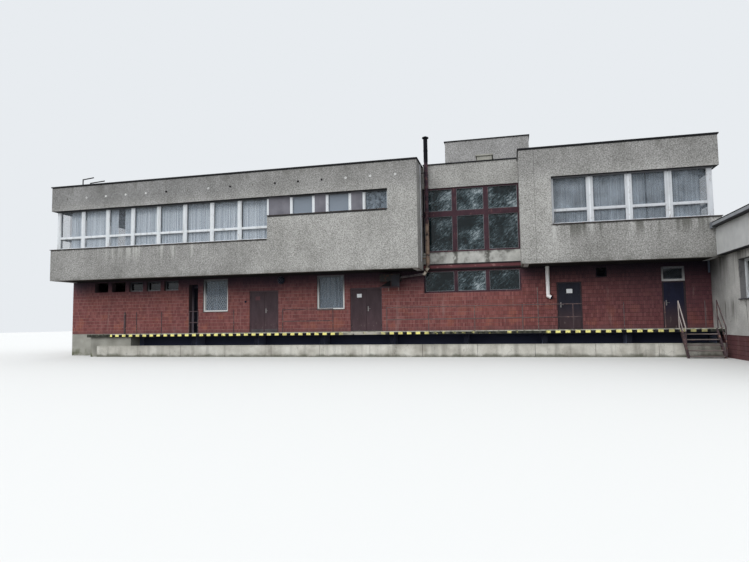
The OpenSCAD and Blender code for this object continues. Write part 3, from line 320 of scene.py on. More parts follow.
def kerb_concrete():
    """Pale cast panels with runs of dirt, thin cracks, moss at the foot and a worn upper edge."""
    p, x, _, z = paint("kerb_concrete")
    cloud = p.noise(1.1, 5, rough=0.6)
    p.colour = p.ramp(cloud, (0.3, "#9b978d"), (0.5, "#c5c2b8"), (0.7, "#dddbd2"))
    grain = p.noise(30, 3, rough=0.7)
    p.lay("#8a867b", grain.rise(0.55, 0.7) * 0.5)
    p.lay("#94938c", x.fall(-7.0, -1.0) * 0.3)
    p.lay("#75726a", p.spots(1.0, 0.5, 0.66, (3.5, 1, 0.25), 4) * x.rise(1.0, 6.0, 0.3, 0.45))
    crack = abs(p.noise(1.5, 4, (1, 1, 0.4)) - 0.5)
    p.lay("#4a4843", crack.fall(0.0, 0.003) * 0.5)
    foot = z + p.noise(3, 4) * 0.25
    p.lay("#4a4d3e", foot.fall(0.14, 0.3) * 0.8)
    p.lay("#7f7d72", foot.rise(0.56, 0.68) * 0.4)
    return p.done(roughness=0.9, height=cloud + grain * 0.3, depth=0.004)


def bay_concrete():
    """Fair-faced panel under the tall window, roughcast over it, and a soffit painted near black as shade."""
    p, x, _, z = paint("bay_concrete")
    coat, rough = roughcast_coat(p)
    cloud = p.noise(2.2, 5, rough=0.65)
    p.colour = p.ramp(cloud, (0.3, "#777671"), (0.48, "#aeaea9"), (0.7, "#c9c9c3"))
    top = z + p.noise(3.5, 4, (1, 1, 0.5)) * 0.55
    p.lay("#4d4b47", top.rise(PANEL_TOP + 0.14, PANEL_TOP + 0.3) * 0.75)
    for mullion in MULLIONS:
        run = (x + p.noise(5, 3) * 0.16).within(mullion + 0.02, mullion + 0.2, 0.05)
        p.lay("#46453f", run * p.spots(6, 0.25, 0.5) * 0.8)
    band_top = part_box("stair_bay_band")[1].z
    # Painted shade: near black from just above the top of the band downwards, over the soffit.
    p.lay("#262226", z.fall(band_top + 0.01, band_top + 0.03))
    above = z.rise(PANEL_TOP + 1, PANEL_TOP + 1.2)
    p.lay(coat, above)
    return p.done(roughness=0.93, height=rough * above + cloud * 0.2, depth=0.01)


TILE_PITCH = (0.0775, 0.169)
TILE_JOINTS = (0.007, 0.014)
TILE_PROUD = 0.006


def wall_tile():
    """Glazed red-brown tiles, rusty low down, with painted shade that makes them near black and bluish under
    the soffit and darker to the right.
    """
    p, x, y, z = paint("wall_tile")
    one = p.cell((TILE_PITCH[0], TILE_PITCH[0], TILE_PITCH[1]), (LEFT, FRONT + 0.03, GROUND_FLOOR))
    p.colour = p.ramp(one, (0.0, "#6c3c3b"), (0.5, "#7b4745"), (1.0, "#8a5552"))
    p.lay("#8c4f45", p.spots(0.7, 0.45, 0.7, detail=4) * 0.35)
    p.lay("#9c5f4b", p.spots(1.7, 0.52, 0.66) * z.fall(GROUND_FLOOR + 0.3, SOFFIT - 0.7) * 0.45)
    # Painted shade: darker and purplish towards the right end, more so high up.
    deep = x.rise(7.0, RIGHT, 0.0, 0.7) * z.rise(GROUND_FLOOR, SOFFIT - 0.8, 0.55, 1.0)
    p.lay("#3c2a37", deep * y.fall(0, 1))
    # Painted shade under the soffit: near black, bluish towards the right.
    soffit_shade = (z + p.noise(0.9, 3) * 0.5).rise(SOFFIT - 0.8, SOFFIT + 0.3)
    soffit_shade_colour = p.mix("#2e2536", "#171828", x.rise(-2, 9))
    p.lay(soffit_shade_colour, soffit_shade * y.rise(0, 1, 0.92, 0.3))
    p.lay("#a08b86", p.spots(1.0, 0.62, 0.72, (3, 3, 0.4), 5) * z.fall(SOFFIT - 1.2, SOFFIT - 0.4) * 0.3)
    foot = z + p.noise(2.5, 3) * 0.4
    p.lay("#5e4649", foot.fall(GROUND_FLOOR + 0.2, GROUND_FLOOR + 0.45) * 0.5)
    return p.done(roughness=0.5, height=p.noise(30, 2), depth=0.0006)


def mortar():
    """Pinkish joints between tiles, dull in the openings, with painted shade that makes them near black to
    the right and under the soffit.
    """
    p, x, y, z = paint("tile_mortar")
    p.colour = p.ramp(p.noise(6, 4), (0.3, "#7d625f"), (0.7, "#a3857f"))
    # Painted shade: near black joints to the right and under the soffit.
    p.lay("#150e13", x.rise(4.0, 9.0) * y.rise(0, 1, 0.85, 0.1))
    p.lay("#2a2630", z.rise(SOFFIT - 1.1, SOFFIT - 0.1) * y.rise(0, 1, 0.85, 0.2))
    p.lay("#4d4145", y.within(GROUND_FACE + 0.005, GROUND_FACE + 0.29, MM))
    return p.done(roughness=0.95, height=p.noise(90, 2), depth=0.001)


def white_frames():
    """White gloss paint that flakes off, dull on the right frames, with painted shade: dark at the window
    heads and on the small frames; the big ground-floor frames painted light low down and dark towards the
    soffit.
    """
    p, x, y, z = paint("white_frame_paint")
    white = "#d3d8db"
    p.colour = p.mix(white, p.ramp(p.noise(3, 3), (0.3, white), (0.7, "#ffffff")), 0.25)
    worn = p.noise(16, 5, (1, 1, 0.35), rough=0.7) + z.fall(SILL, SILL + 0.75) * 0.05
    gone = (worn + x.rise(BAY_RIGHT, BAY_RIGHT + 1.0) * 0.015).rise(0.62, 0.66)
    p.lay("#8c8379", gone * 0.6)
    p.lay("#6d6a64", p.spots(1.0, 0.5, 0.75, (5, 5, 0.5), 4) * 0.35)
    # Painted shade at the window heads.
    p.lay("#26262c", z.rise(HEAD - 0.08, HEAD - 0.05) * 0.9)
    # Painted shade on the small frames under the soffit.
    small = z.within(SMALL_SILL, SOFFIT, 0.02) * x.fall(SMALL_WINDOWS_END, SMALL_WINDOWS_END + 0.1)
    p.lay("#4f4b4f", small * 0.9)
    # Painted light and shade on the ground-floor frames: near white low down, dark and bluish towards the
    # soffit.
    ground = z.fall(SOFFIT - 0.01, SOFFIT) * y.within(GROUND_FACE, GROUND_FACE + 0.3, 0.01)
    p.lay(p.mix("#f0eeea", "#3c3d47", z.rise(2.7, 3.65)), ground * 0.8)
    flat = x.rise(BAY_RIGHT, BAY_RIGHT + 0.1) * y.within(FRAME_FACE - 0.003, FRAME_FACE + 0.1, MM)
    p.lay("#a3a5ab", flat * 0.4)
    return p.done(roughness=0.55, height=1 - gone, depth=0.0015)


def brown_frames():
    """Dull brown paint, with painted shadow that makes it nearly black beside the flue."""
    p, x, _, _ = paint("brown_frame_paint")
    p.colour = p.ramp(p.noise(4, 4), (0.3, "#38262e"), (0.7, "#4b3139"))
    p.lay("#85605c", p.spots(14, 0.62, 0.7, (1, 1, 0.4)) * 0.3)
    # Painted shadow beside the flue.
    p.lay("#15151f", x.fall(BAY_LEFT + 0.1, BAY_LEFT + 0.3) * 0.75)
    return p.done(roughness=0.7, height=p.noise(40, 2, (1, 1, 0.2)), depth=0.0006)


def band_paint():
    """Red-brown boards between a dark line above and a dark line below."""
    p, _, _, z = paint("band_paint")
    low, high = (corner.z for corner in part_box("stair_bay_band"))
    p.colour = p.ramp(p.noise(3, 4, (0.4, 1, 1)), (0.3, "#553034"), (0.7, "#6f4145"))
    p.lay("#a98480", p.spots(9, 0.6, 0.7, (0.4, 1, 1)) * 0.4)
    p.lay("#1d191c", z.rise(high - 0.07, high - 0.05).most(z.fall(low + 0.05, low + 0.08)) * 0.9)
    return p.done(roughness=0.7, height=p.noise(30, 2), depth=0.001)


def painted_metal(name, base, shade, roughness=0.5, rusty=False):
    """Brushed-on paint over sheet metal, where rusty with rust showing through."""
    p = Paint(name)
    p.colour = p.ramp(p.noise(2.5, 4), (0.3, base), (0.7, shade))
    p.lay(base, p.spots(1.0, 0.5, 0.75, (9, 9, 0.7), 3) * 0.4)
    grain = p.noise(60, 2)
    if rusty:
        rust = p.noise(9, 5, rough=0.7).rise(0.56, 0.64)
        p.lay("#6a4433", rust * 0.8)
        grain = grain + rust
    return p.done(roughness=roughness, height=grain, depth=0.0008)


def door_leaf(name, low, high):
    """Dark paint, browner low down and navy on the last door, with bare metal on what stands proud of the
    leaves and a frame of its own colour."""
    p, x, y, z = paint(name)
    deep = p.mix(high, "#1d2038", x.rise(LAST_DOOR, LAST_DOOR + 0.1))
    p.colour = p.mix(low, deep, z.rise(GROUND_FLOOR + 0.2, GROUND_FLOOR + 1.3))
    p.lay(p.ramp(p.noise(5, 4, (1, 1, 0.3)), (0.3, "#b9b0b0"), (0.7, "#ffffff")), 0.6, "MULTIPLY")
    scuffs = p.spots(12, 0.63, 0.7, (1, 1, 0.5)) * z.rise(GROUND_FLOOR, GROUND_FLOOR + 0.8, 1, 0.1)
    p.lay("#756a66", scuffs * 0.6)
    inside = sum(x.within(x0, x1, MM) * z.fall(top, top + 2 * MM) for x0, x1, top in LEAVES)
    p.colour = p.mix(p.mix("#54454a", "#3a3136", x.rise(5, 6)), p.colour, inside)
    ahead = y.fall(LEAF_FACE - 2.5 * MM, LEAF_FACE - 1.5 * MM)
    behind = y.rise(LEAF_FACE + LEAF_T + 1.5 * MM, LEAF_FACE + LEAF_T + 2.5 * MM)
    proud = ahead.most(behind) * inside * z.within(GROUND_FLOOR + 0.8, GROUND_FLOOR + 1.4, 0.05)
    p.lay("#918e8d", proud)
    return p.done(roughness=proud.rise(0, 1, 0.6, 0.35), metallic=proud * 0.6,
                  height=p.noise(30, 2, (1, 1, 0.1)), depth=0.0008)


def recess_lining():
    """The recess, painted with light and shade: a left side painted light and darker towards its top, a back
    painted near black as shade, and a dim strip under its top.
    """
    p, x, _, z = paint("recess_lining")
    low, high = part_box("service_recess")
    # Painted shade: the back of the recess is near black.
    p.colour = p.ramp(p.noise(3, 3), (0.3, "#0d0f18"), (0.7, "#181b26"))
    # Painted light on the left side, dimming towards the top as painted shade; the strip under the top takes
    # the dim colour too.
    side = x.fall(low.x + 0.021, low.x + 0.022).most(z.rise(high.z - 0.2, high.z - 0.15))
    p.lay(p.mix("#b9acb6", "#3c3847", z.rise(low.z + 0.8, high.z)), side)
    return p.done(roughness=0.85, height=p.noise(40, 2), depth=0.001)


def flue_metal():
    """Sooty top, rusty middle, tan lower part with dark patches, pale elbow and a grey sloping duct."""
    p, x, _, z = paint("flue_metal")
    rust = p.ramp(p.noise(7, 5, rough=0.65), (0.3, "#241d23"), (0.5, "#42303a"), (0.68, "#6c4d47"))
    ragged = z + p.noise(2.2, 4, (1, 1, 0.6)) * 1.1
    p.colour = p.mix("#0b0d14", rust, ragged.fall(PARAPET_TOP + 0.55, PARAPET_TOP + 0.85))
    tan = p.ramp(p.noise(6, 4), (0.35, "#352c2c"), (0.45, "#7e6b60"), (0.7, "#9a8471"))
    p.lay(tan, ragged.fall(SILL + 0.85, SILL + 1.2))
    elbow = p.ramp(p.noise(9, 4), (0.4, "#4a3d39"), (0.5, "#a99c8b"), (0.65, "#e6e1d6"))
    p.lay(elbow, z.fall(SOFFIT + 0.04, SOFFIT + 0.12))
    duct = p.ramp(p.noise(6, 4), (0.3, "#453f43"), (0.7, "#6c6465"))
    p.lay(duct, x.fall(FLUE_X - 0.28, FLUE_X - 0.16))
    return p.done(roughness=0.7, metallic=0.15, height=p.noise(25, 4), depth=0.002)


def dock_concrete():
    """The slab: mossy and worn on top, with black and yellow blocks along its edge under a pale lip, and an
    underside painted near black as shade.
    """
    p, x, y, z = paint("dock_concrete")
    cloud = p.noise(1.6, 5, rough=0.6)
    top = p.ramp(cloud, (0.3, "#6e6c64"), (0.5, "#918f86"), (0.7, "#aaa89e"))
    side = p.ramp(p.noise(5, 4), (0.35, "#22231e"), (0.55, "#3c3d35"), (0.7, "#6f6e64"))
    yellow = p.mix("#f1e98e", "#cfc47a", p.spots(8, 0.45, 0.7))
    yellow = p.mix(yellow, "#6f6c55", p.spots(14, 0.6, 0.68) * 0.7)
    yellow = p.mix(yellow, "#7e7a5c", x.rise(*FADED, 0.0, 0.75))
    black = p.mix("#0e0e12", "#2c2c30", p.spots(8, 0.5, 0.7))
    blocks = p.mix(black, yellow, x.repeat(STRIPES[0], STRIPE_PAIR).within(0.03, 0.53, 0.02))
    scraped = x.within(*SCRAPED, 0.6)
    gone = x.within(*WORN, 0.35).most(scraped) * p.noise(5, 4).rise(0.3, 0.5)
    p.colour = p.mix(side, blocks, x.within(STRIPES[0] + 0.1, STRIPES[1], 0.01) * (1 - gone))
    p.lay("#bdb9ae", gone * scraped * 0.8)
    lip = p.ramp(p.noise(7, 4), (0.35, "#77756a"), (0.5, "#b5b3a6"), (0.7, "#d2d0c4"))
    p.lay(lip, z.rise(GROUND_FLOOR - 0.034, GROUND_FLOOR - 0.026) * 0.85)
    p.lay("#16171d", z.fall(GROUND_FLOOR - 0.135, GROUND_FLOOR - 0.125))
    p.lay(side, x.fall(STRIPES[0], STRIPES[0] + 0.1) * 0.8)
    top = p.mix(top, "#565b43", p.spots(2.2, 0.5, 0.65) * y.rise(DOCK_FACE, DOCK_FACE + 0.5, 0.7, 0.2))
    p.colour = p.mix(top, p.colour, y.fall(DOCK_FACE + MM, DOCK_FACE + 2 * MM))
    # Painted shade: the underside of the slab over the void is near black.
    p.lay("#1a1c25", z.fall(GROUND_FLOOR - 0.149, GROUND_FLOOR - 0.148))
    return p.done(roughness=0.9, height=cloud, depth=0.003)


def felt():
    """Bitumen felt in strips with lapped joints, ponding stains and grit."""
    p, x, y, _ = paint("roof_felt")
    p.colour = p.ramp(p.noise(0.8, 4), (0.3, "#4e4f50"), (0.7, "#6e6f6f"))
    for joint in (y.repeat(-100, 1).within(0.0, 0.05, 0.008), x.repeat(-103, 7.5).within(0.0, 0.008, 0.002)):
        p.lay("#38393a", joint * 0.8)
    p.lay("#83837c", p.spots(1.3, 0.58, 0.72) * 0.45)
    p.lay("#59604a", p.spots(3.5, 0.64, 0.74) * 0.5)
    return p.done(roughness=0.95, height=p.noise(70, 2), depth=0.002)


def slab_concrete():
    """Slabs: grey inside; the void under the dock painted near black and bluish as shade, lighter on faces
    that turn sideways, and the soffit painted near black as shade.
    """
    p, x, y, z = paint("slab_concrete")
    cloud = p.noise(1.2, 4)
    p.colour = p.ramp(cloud, (0.3, "#7b7a72"), (0.7, "#a3a299"))
    p.lay("#5b5f49", p.spots(1.8, 0.45, 0.6, detail=4) * z.fall(0.1, 0.5))
    # Painted shade in the void under the dock: near black and bluish, lighter on faces that turn sideways and
    # towards the back.
    block = x.rise(DOCK_BLOCK, DOCK_BLOCK + 0.01).most(y.rise(FRONT + 1.2, FRONT + 1.25))
    void = block * z.fall(GROUND_FLOOR - 0.01, GROUND_FLOOR) * x.rise(LEFT + 1.9, LEFT + 2.0)
    sideways = p.axes(p.add("NewGeometry").outputs["True Normal"])[0]
    void_shade = p.mix("#20232f", "#6a7088", abs(sideways))
    void_shade = p.mix(void_shade, "#3d4156", y.rise(GROUND_FACE - 0.05, GROUND_FACE - 0.01))
    p.lay(void_shade, void * y.fall(GROUND_FACE + 0.01, GROUND_FACE + 0.02))
    # Painted shade: the soffit is near black.
    soffit = z.within(SOFFIT - MM, SOFFIT + MM, MM) * y.fall(GROUND_FACE + 0.2, GROUND_FACE + 0.3)
    p.lay("#121318", soffit * 0.95)
    return p.done(roughness=0.93, height=p.noise(60, 2), depth=0.002)


def window_glass():
    """Old panes: pale in the left wing, duller in the right one with a mottled painted reflection of the sky,
    dark in the bay with a painted reflection of trees, as is the third long window, and the small
    ground-floor panes painted dark as shade.
    """
    p, x, y, z = paint("window_glass")
    bay = x.within(BAY_LEFT, BAY_RIGHT, 0.01) * y.within(GROUND_FACE, GROUND_FACE + 0.4, 0.01)
    # Painted reflection of trees on the bay panes, weaker on the lower panes.
    leaves = p.noise(19, 4, (1, 1, 0.35), rough=0.7, turn=-0.87)
    crowns = p.noise(1.3, 2) * 0.5 + leaves * 0.5
    lower = z.fall(PANEL_TOP + 1.7, PANEL_TOP + 1.9) * z.rise(PANEL_TOP - 0.3, PANEL_TOP, 0.4, 1)
    plain = x.fall(MULLIONS[0], MULLIONS[0] + 0.05) * z.fall(PANEL_TOP - 0.1, PANEL_TOP)
    crowns = crowns - lower * 0.05 - plain * 0.05
    dark = p.ramp(crowns, (0.4, "#10191c"), (0.48, "#29363a"), (0.55, "#59666b"), (0.64, "#a9b4b8"))
    left = x.fall(BAY_LEFT - 0.1, BAY_LEFT)
    # Painted reflection of the sky: mottled grey-blue on the panes; the left wing's are an even pale colour.
    clouds = p.ramp(p.noise(1.1, 6, rough=0.7), (0.36, "#434c55"), (0.64, "#8f9aa4"))
    p.colour = p.mix(clouds, "#98a1ab", left)
    front = y.fall(FRONT + 0.9, FRONT + 1)
    ribbon = x.within(RIBBON[0], BAY_LEFT, 0.02) * z.rise(SILL + 0.8, SILL + 0.9) * front
    p.lay("#8b95a0", ribbon)
    # Painted reflection of trees in the third long window.
    trees = p.ramp(p.noise(6, 5, rough=0.7), (0.4, "#4b545c"), (0.6, "#848f99"))
    p.lay(trees, ribbon * x.rise(RIBBON_THIRD, RIBBON_THIRD + 0.02))
    # Ground-floor panes; as painted shade, the small ones under the soffit are dim and those at the left end
    # near black.
    ground = z.fall(SOFFIT - 0.01, SOFFIT) * y.fall(0, 1)
    ends = x.fall(SMALL_WINDOWS_END, SMALL_WINDOWS_END + 0.1) + x.rise(LAST_DOOR + 0.5, LAST_DOOR + 0.6)
    high = ground * z.rise(SMALL_SILL, SMALL_SILL + 0.02) * ends
    dim = p.mix("#7f8a95", "#2a3138", high)
    dim = p.mix(dim, "#0c0f18", x.fall(DARK_WINDOWS_END, DARK_WINDOWS_END + 0.1))
    p.lay(dim, ground)
    p.lay(dark, bay)
    alpha = bay * 0.58 + 0.34 + (1 - ribbon) * left * front * -0.2 + ribbon * 0.4 + high * 0.45
    return p.done(roughness=0.06, alpha=alpha.least(0.95), height=p.noise(0.8, 1), depth=0.004, IOR=1.5,
                  Specular_IOR_Level=bay.rise(0, 1, 0.5, 0.3))


def curtain_cloth(name, base, shade, lace=False):
    """Thin woven cloth with faint upright lines, and painted shade that dims it at the head of the upper
    windows.
    The lace one carries a net of diamonds on its lower half."""
    p, x, _, z = paint(name)
    p.colour = p.ramp(p.noise(14, 2, (1, 1, 0.01)), (0.35, base), (0.65, shade))
    # Painted shade under the window heads.
    p.lay("#7f8890", z.rise(HEAD - 0.45, HEAD - 0.2) * 0.6)
    if lace:
        net = abs((x * 26 + z * 17).sine()).most(abs((x * 26 - z * 17).sine()))
        p.lay("#dfe6ea", net.rise(0.9, 0.98) * z.fall(LACE_TOP - 0.25, LACE_TOP))
    weave = (x * 2600).sine() * (z * 2600).sine()
    return p.done(roughness=0.95, height=weave, depth=0.0004, Sheen_Weight=0.25)


def annex_render():
    """Smooth grey render: drips from the eaves and the sills, thin cracks, and painted shade in the inner
    corner and in the window reveals.
    """
    p, x, y, z = paint("annex_render")
    p.colour = p.ramp(p.noise(1.4, 5), (0.3, "#a5a4a0"), (0.55, "#bab9b5"), (0.72, "#cccbc6"))
    p.lay("#83827e", p.spots(28, 0.5, 0.66, detail=3) * 0.5)
    p.lay("#5f5e59", p.spots(1.0, 0.44, 0.62, (4, 4, 0.18), 4) * z.rise(ANNEX_EAVES - 1.6, ANNEX_EAVES) * 0.7)
    # Painted shade: the inner corner by the main block grows dark and bluish towards the eaves.
    p.lay("#20212c", y.rise(GROUND_FACE - 2.6, GROUND_FACE) * z.rise(GROUND_FLOOR, ANNEX_EAVES) * 0.8)
    tears = p.spots(1.0, 0.52, 0.64, (7, 7, 0.3), 3) * z.within(ANNEX_SILL - 0.75, ANNEX_SILL - 0.02, 0.15)
    p.lay("#4f4d49", tears * 0.7)
    crack = abs(p.noise(0.8, 4, (1, 1, 0.35)) - 0.5)
    p.lay("#33322f", crack.fall(0.0, 0.004) * 0.6)
    low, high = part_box("annex_side_walls")
    # Painted shade in the window reveals.
    reveal_shade = x.within(low.x + 0.01, low.x + 0.3, MM).most(x.within(high.x - 0.3, high.x - 0.01, MM))
    p.lay("#56565a", reveal_shade * z.within(ANNEX_SILL - 0.1, ANNEX_EAVES - 0.1, 0.01) * 0.8)
    return p.done(roughness=0.9, height=p.noise(24, 4), depth=0.003)


def edged_metal(name, node, shades, top, bottom, line):
    """Sheet metal with a dark line along the upper edge of a node and painted shade along its lower edge."""
    p, _, _, z = paint(name)
    low, high = (corner.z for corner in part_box(node))
    p.colour = p.ramp(p.noise(2.5, 4), (0.3, shades[0]), (0.7, shades[1]))
    p.lay(top, z.rise(high - line, high - 0.8 * line))
    # Painted shade along the lower edge.
    p.lay(bottom, z.fall(low + 0.8 * line, low + line))
    return p.done(roughness=0.6, height=p.noise(40, 2), depth=0.0008)


def rail_paint():
    """Worn brown paint on the rails and the stair; the left handrail is bare and pale."""
    p, x, y, z = paint("rail_paint")
    p.colour = p.ramp(p.noise(2.5, 4), (0.3, "#3a3135"), (0.7, "#5a4a4c"))
    p.lay("#8a6a5c", p.spots(9, 0.55, 0.66, detail=5) * 0.7)
    dusty = y.rise(DOCK_FACE + 0.02, DOCK_FACE + 0.03) * x.rise(2.0, 2.05) * x.rise(8.6, 8.7, 0.5, 0.15)
    p.lay("#8b7a74", dusty * 0.5)
    p.lay("#c4bab4", x.within(*LEFT_HANDRAIL, 2 * MM) * z.rise(1.0, 1.05) * 0.65)
    return p.done(roughness=0.65, height=p.noise(60, 2), depth=0.0008)


PAINTS = {
    "grey_render": roughcast(),
    "red_tile": mortar(),
    "base_concrete": slab_concrete(),
    "bay_concrete": bay_concrete(),
    "coping_metal": painted_metal("coping_metal", "#0f1014", "#1c1d21"),
    "roof_felt": felt(),
    "white_frames": white_frames(),
    "brown_frames": brown_frames(),
    "brown_panels": painted_metal("ribbon_panel_paint", "#67666d", "#7a7980", 0.6),
    "band_paint": band_paint(),
    "window_glass": window_glass(),
    "sill_metal": painted_metal("sill_metal", "#2e2a2a", "#4b4341", 0.55, rusty=True),
    "recess_lining": recess_lining(),
    "door_paint": door_leaf("door_paint", "#503e43", "#493b40"),
    "blue_grey_paint": door_leaf("blue_door_paint", "#45363a", "#262734"),
    "hinge_metal": painted_metal("hinge_metal", "#3a3034", "#4d4043", 0.6),
    "dock_concrete": dock_concrete(),
    "kerb_concrete": kerb_concrete(),
    "rail_paint": rail_paint(),
    "flue_metal": flue_metal(),
    "heater_metal": painted_metal("heater_metal", "#26272a", "#45403e", 0.6, rusty=True),
    "downpipe_plastic": painted_metal("downpipe_plastic", "#fbf6f5", "#ffffff", 0.45),
    "grille_paint": painted_metal("grille_paint", "#10131c", "#161a28", 0.7),
    "lamp_paint": painted_metal("lamp_paint", "#0a1020", "#141b32"),
    "annex_render": annex_render(),
    "fascia_paint": edged_metal("fascia_paint", "annex_fascia", ("#bcbdbc", "#cbccca"), "#3a3a3e", "#26262b",
                                0.03),
    "gutter_metal": edged_metal("gutter_metal", "annex_gutter", ("#8e9196", "#a2a5a8"), "#141518", "#25262a",
                                0.045),
}
TILE = wall_tile()
CLEAN_WHITE = painted_metal("track_paint", "#b9bdbf", "#cdd0d1")
SASH_LINE = painted_metal("sash_line", "#7b8184", "#959a9c", 0.6)
DARK_METAL = painted_metal("seam_metal", "#17181c", "#2a2b2f")
KICK_GREY = painted_metal("kick_plate", "#423c40", "#5a5354")
for part in frame["record"]["subparts"]:
    for holder in frame["nodes"][part["node"]].material_slots:
        holder.material = PAINTS[part["material_slot"]]


# Mesh tools

def circle(k, sides):
    """The cosine and sine of one corner of a regular outline."""
    turn = 2 * math.pi * k / sides
    return math.cos(turn), math.sin(turn)


class Shape:
    """The vertices and faces of one piece."""

    def __init__(self):
        self.points = []
        self.faces = []

    def add(self, points, faces):
        start = len(self.points)
        self.points += [tuple(point) for point in points]
        self.faces += [tuple(start + i for i in face) for face in faces]

    def box(self, low, high):
        x, y, z = zip(low, high)
        corners = [(x[i], y[j], z[k]) for i in (0, 1) for j in (0, 1) for k in (0, 1)]
        self.add(corners, [(0, 1, 3, 2), (4, 6, 7, 5), (0, 4, 5, 1),
                           (2, 3, 7, 6), (0, 2, 6, 4), (1, 5, 7, 3)])

    def ring(self, axis, low, high, rect, width):
        """A flat rectangular ring just inside rect, from low to high along axis."""
        points = []
        for level in (low, high):
            for inset in (0, width):
                u0, u1, v0, v1 = rect[0] + inset, rect[1] - inset, rect[2] + inset, rect[3] - inset
                points += [lift(axis, level, u, v) for u, v in ((u0, v0), (u1, v0), (u1, v1), (u0, v1))]
        faces = []
        for i in range(4):
            j = (i + 1) % 4
            faces += [(i, j, 4 + j, 4 + i), (8 + j, 8 + i, 12 + i, 12 + j)]
            faces += [(j, i, 8 + i, 8 + j), (4 + i, 4 + j, 12 + j, 12 + i)]
        self.add(points, faces)

    def lathe(self, base, direction, profile, sides=24):
        """A turned solid, closed at its ends. profile is pairs of distance along its line and radius."""
        along = Vector(direction).normalized()
        side = along.orthogonal().normalized()
        other = along.cross(side)
        points = []
        for distance, radius in profile:
            for k in range(sides):
                cosine, sine = circle(k, sides)
                points.append(Vector(base) + along * distance + (side * cosine + other * sine) * radius)
        faces = []
        for row in range(0, (len(profile) - 1) * sides, sides):
            for k in range(sides):
                n = (k + 1) % sides
                faces.append((row + k, row + n, row + sides + n, row + sides + k))
        last = (len(profile) - 1) * sides
        faces += [tuple(reversed(range(sides))), tuple(range(last, last + sides))]
        self.add(points, faces)

    def bar(self, start, end, radius, sides=10):
        line = Vector(end) - Vector(start)
        self.lathe(start, line, [(0, radius), (line.length, radius)], sides)

    def collar(self, base, radius, tall=0.05, out=0.01):
        """A bevelled band around an upright pipe."""
        wide = radius + out
        self.lathe(base, (0, 0, 1), [(0, radius), (0.2 * tall, wide), (0.8 * tall, wide), (tall, radius)], 28)

    def piece(self, name, slot, material=None, body=BODY, smooth=False):
        mesh = bpy.data.meshes.new(name)
        mesh.from_pydata(self.points, [], self.faces)
        mesh.materials.append(material or PAINTS[slot])
        mesh.polygons.foreach_set("use_smooth", [smooth] * len(mesh.polygons))
        piece = bpy.data.objects.new(name, mesh)
        bpy.context.scene.collection.objects.link(piece)
        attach(piece, body)
        return piece


def boxes(name, slot, material, *spans):
    """A piece made of boxes, each given by its low and its high corner."""
    shape = Shape()
    for low, high in spans:
        shape.box(low, high)
    return shape.piece(name, slot, material)


def lift(axis, level, u, v):
    """The point at this level along an axis, u and v being its other two coordinates in order."""
    point = [u, v]
    point.insert(axis, level)
    return tuple(point)


def flat_cells(nodes, axis, level):
    """The faces of some nodes that lie flat at a level of an axis: a grid of edges and what they cover."""
    found = []
    for name in nodes:
        mesh = frame["nodes"][name].data
        mesh.calc_loop_triangles()
        points = np.array([v.co for v in mesh.vertices])
        found.append(points[np.array([t.vertices for t in mesh.loop_triangles])])
    corners = np.concatenate(found)
    corners = corners[np.abs(corners[:, :, axis] - level).max(axis=1) < MM]
    corners = np.delete(corners, axis, axis=2)
    edges = [np.unique(np.round(corners[..., i].ravel(), 3)) for i in (0, 1)]
    middle = [(e[:-1] + e[1:]) / 2 for e in edges]
    u, v = np.meshgrid(*middle, indexing="ij")
    spot = np.stack([u.ravel(), v.ravel()], axis=1)[:, None, None]
    a = corners[None]
    side = np.roll(corners, -1, axis=1)[None] - a
    turn = side[..., 0] * (spot[..., 1] - a[..., 1]) - side[..., 1] * (spot[..., 0] - a[..., 0])
    inside = ((turn > 0).all(axis=2) | (turn < 0).all(axis=2)).any(axis=1)
    return edges[0], edges[1], inside.reshape(u.shape)


def holes(nodes, axis, level):
    """The rectangles within the outline of those faces that they leave open, as (u0, u1, v0, v1)."""
    us, vs, covered = flat_cells(nodes, axis, level)
    free = ~covered
    found = []
    for i, j in zip(*np.nonzero(free)):
        if not free[i, j]:
            continue
        j1 = j
        while j1 < free.shape[1] and free[i, j1]:
            j1 += 1
        i1 = i
        while i1 < free.shape[0] and free[i1, j:j1].all():
            i1 += 1
        free[i:i1, j:j1] = False
        found.append((us[i], us[i1], vs[j], vs[j1]))
    return found


def panes(node, axis, level):
    """The openings of a window frame, without the gaps that reach its outline."""
    us, vs, _ = flat_cells([node], axis, level)
    return [hole for hole in holes([node], axis, level)
            if us[0] < hole[0] and hole[1] < us[-1] and vs[0] < hole[2] and hole[3] < vs[-1]]


def without(rect, hole):
    """What is left of a rectangle when a hole is cut from it, as rectangles."""
    u0, u1, v0, v1 = rect
    a0, a1, b0, b1 = max(u0, hole[0]), min(u1, hole[1]), max(v0, hole[2]), min(v1, hole[3])
    if a0 >= a1 or b0 >= b1:
        return [rect]
    parts = [(u0, a0, v0, v1), (a1, u1, v0, v1), (a0, a1, v0, b0), (a0, a1, b1, v1)]
    return [part for part in parts if part[1] - part[0] > MM and part[3] - part[2] > MM]


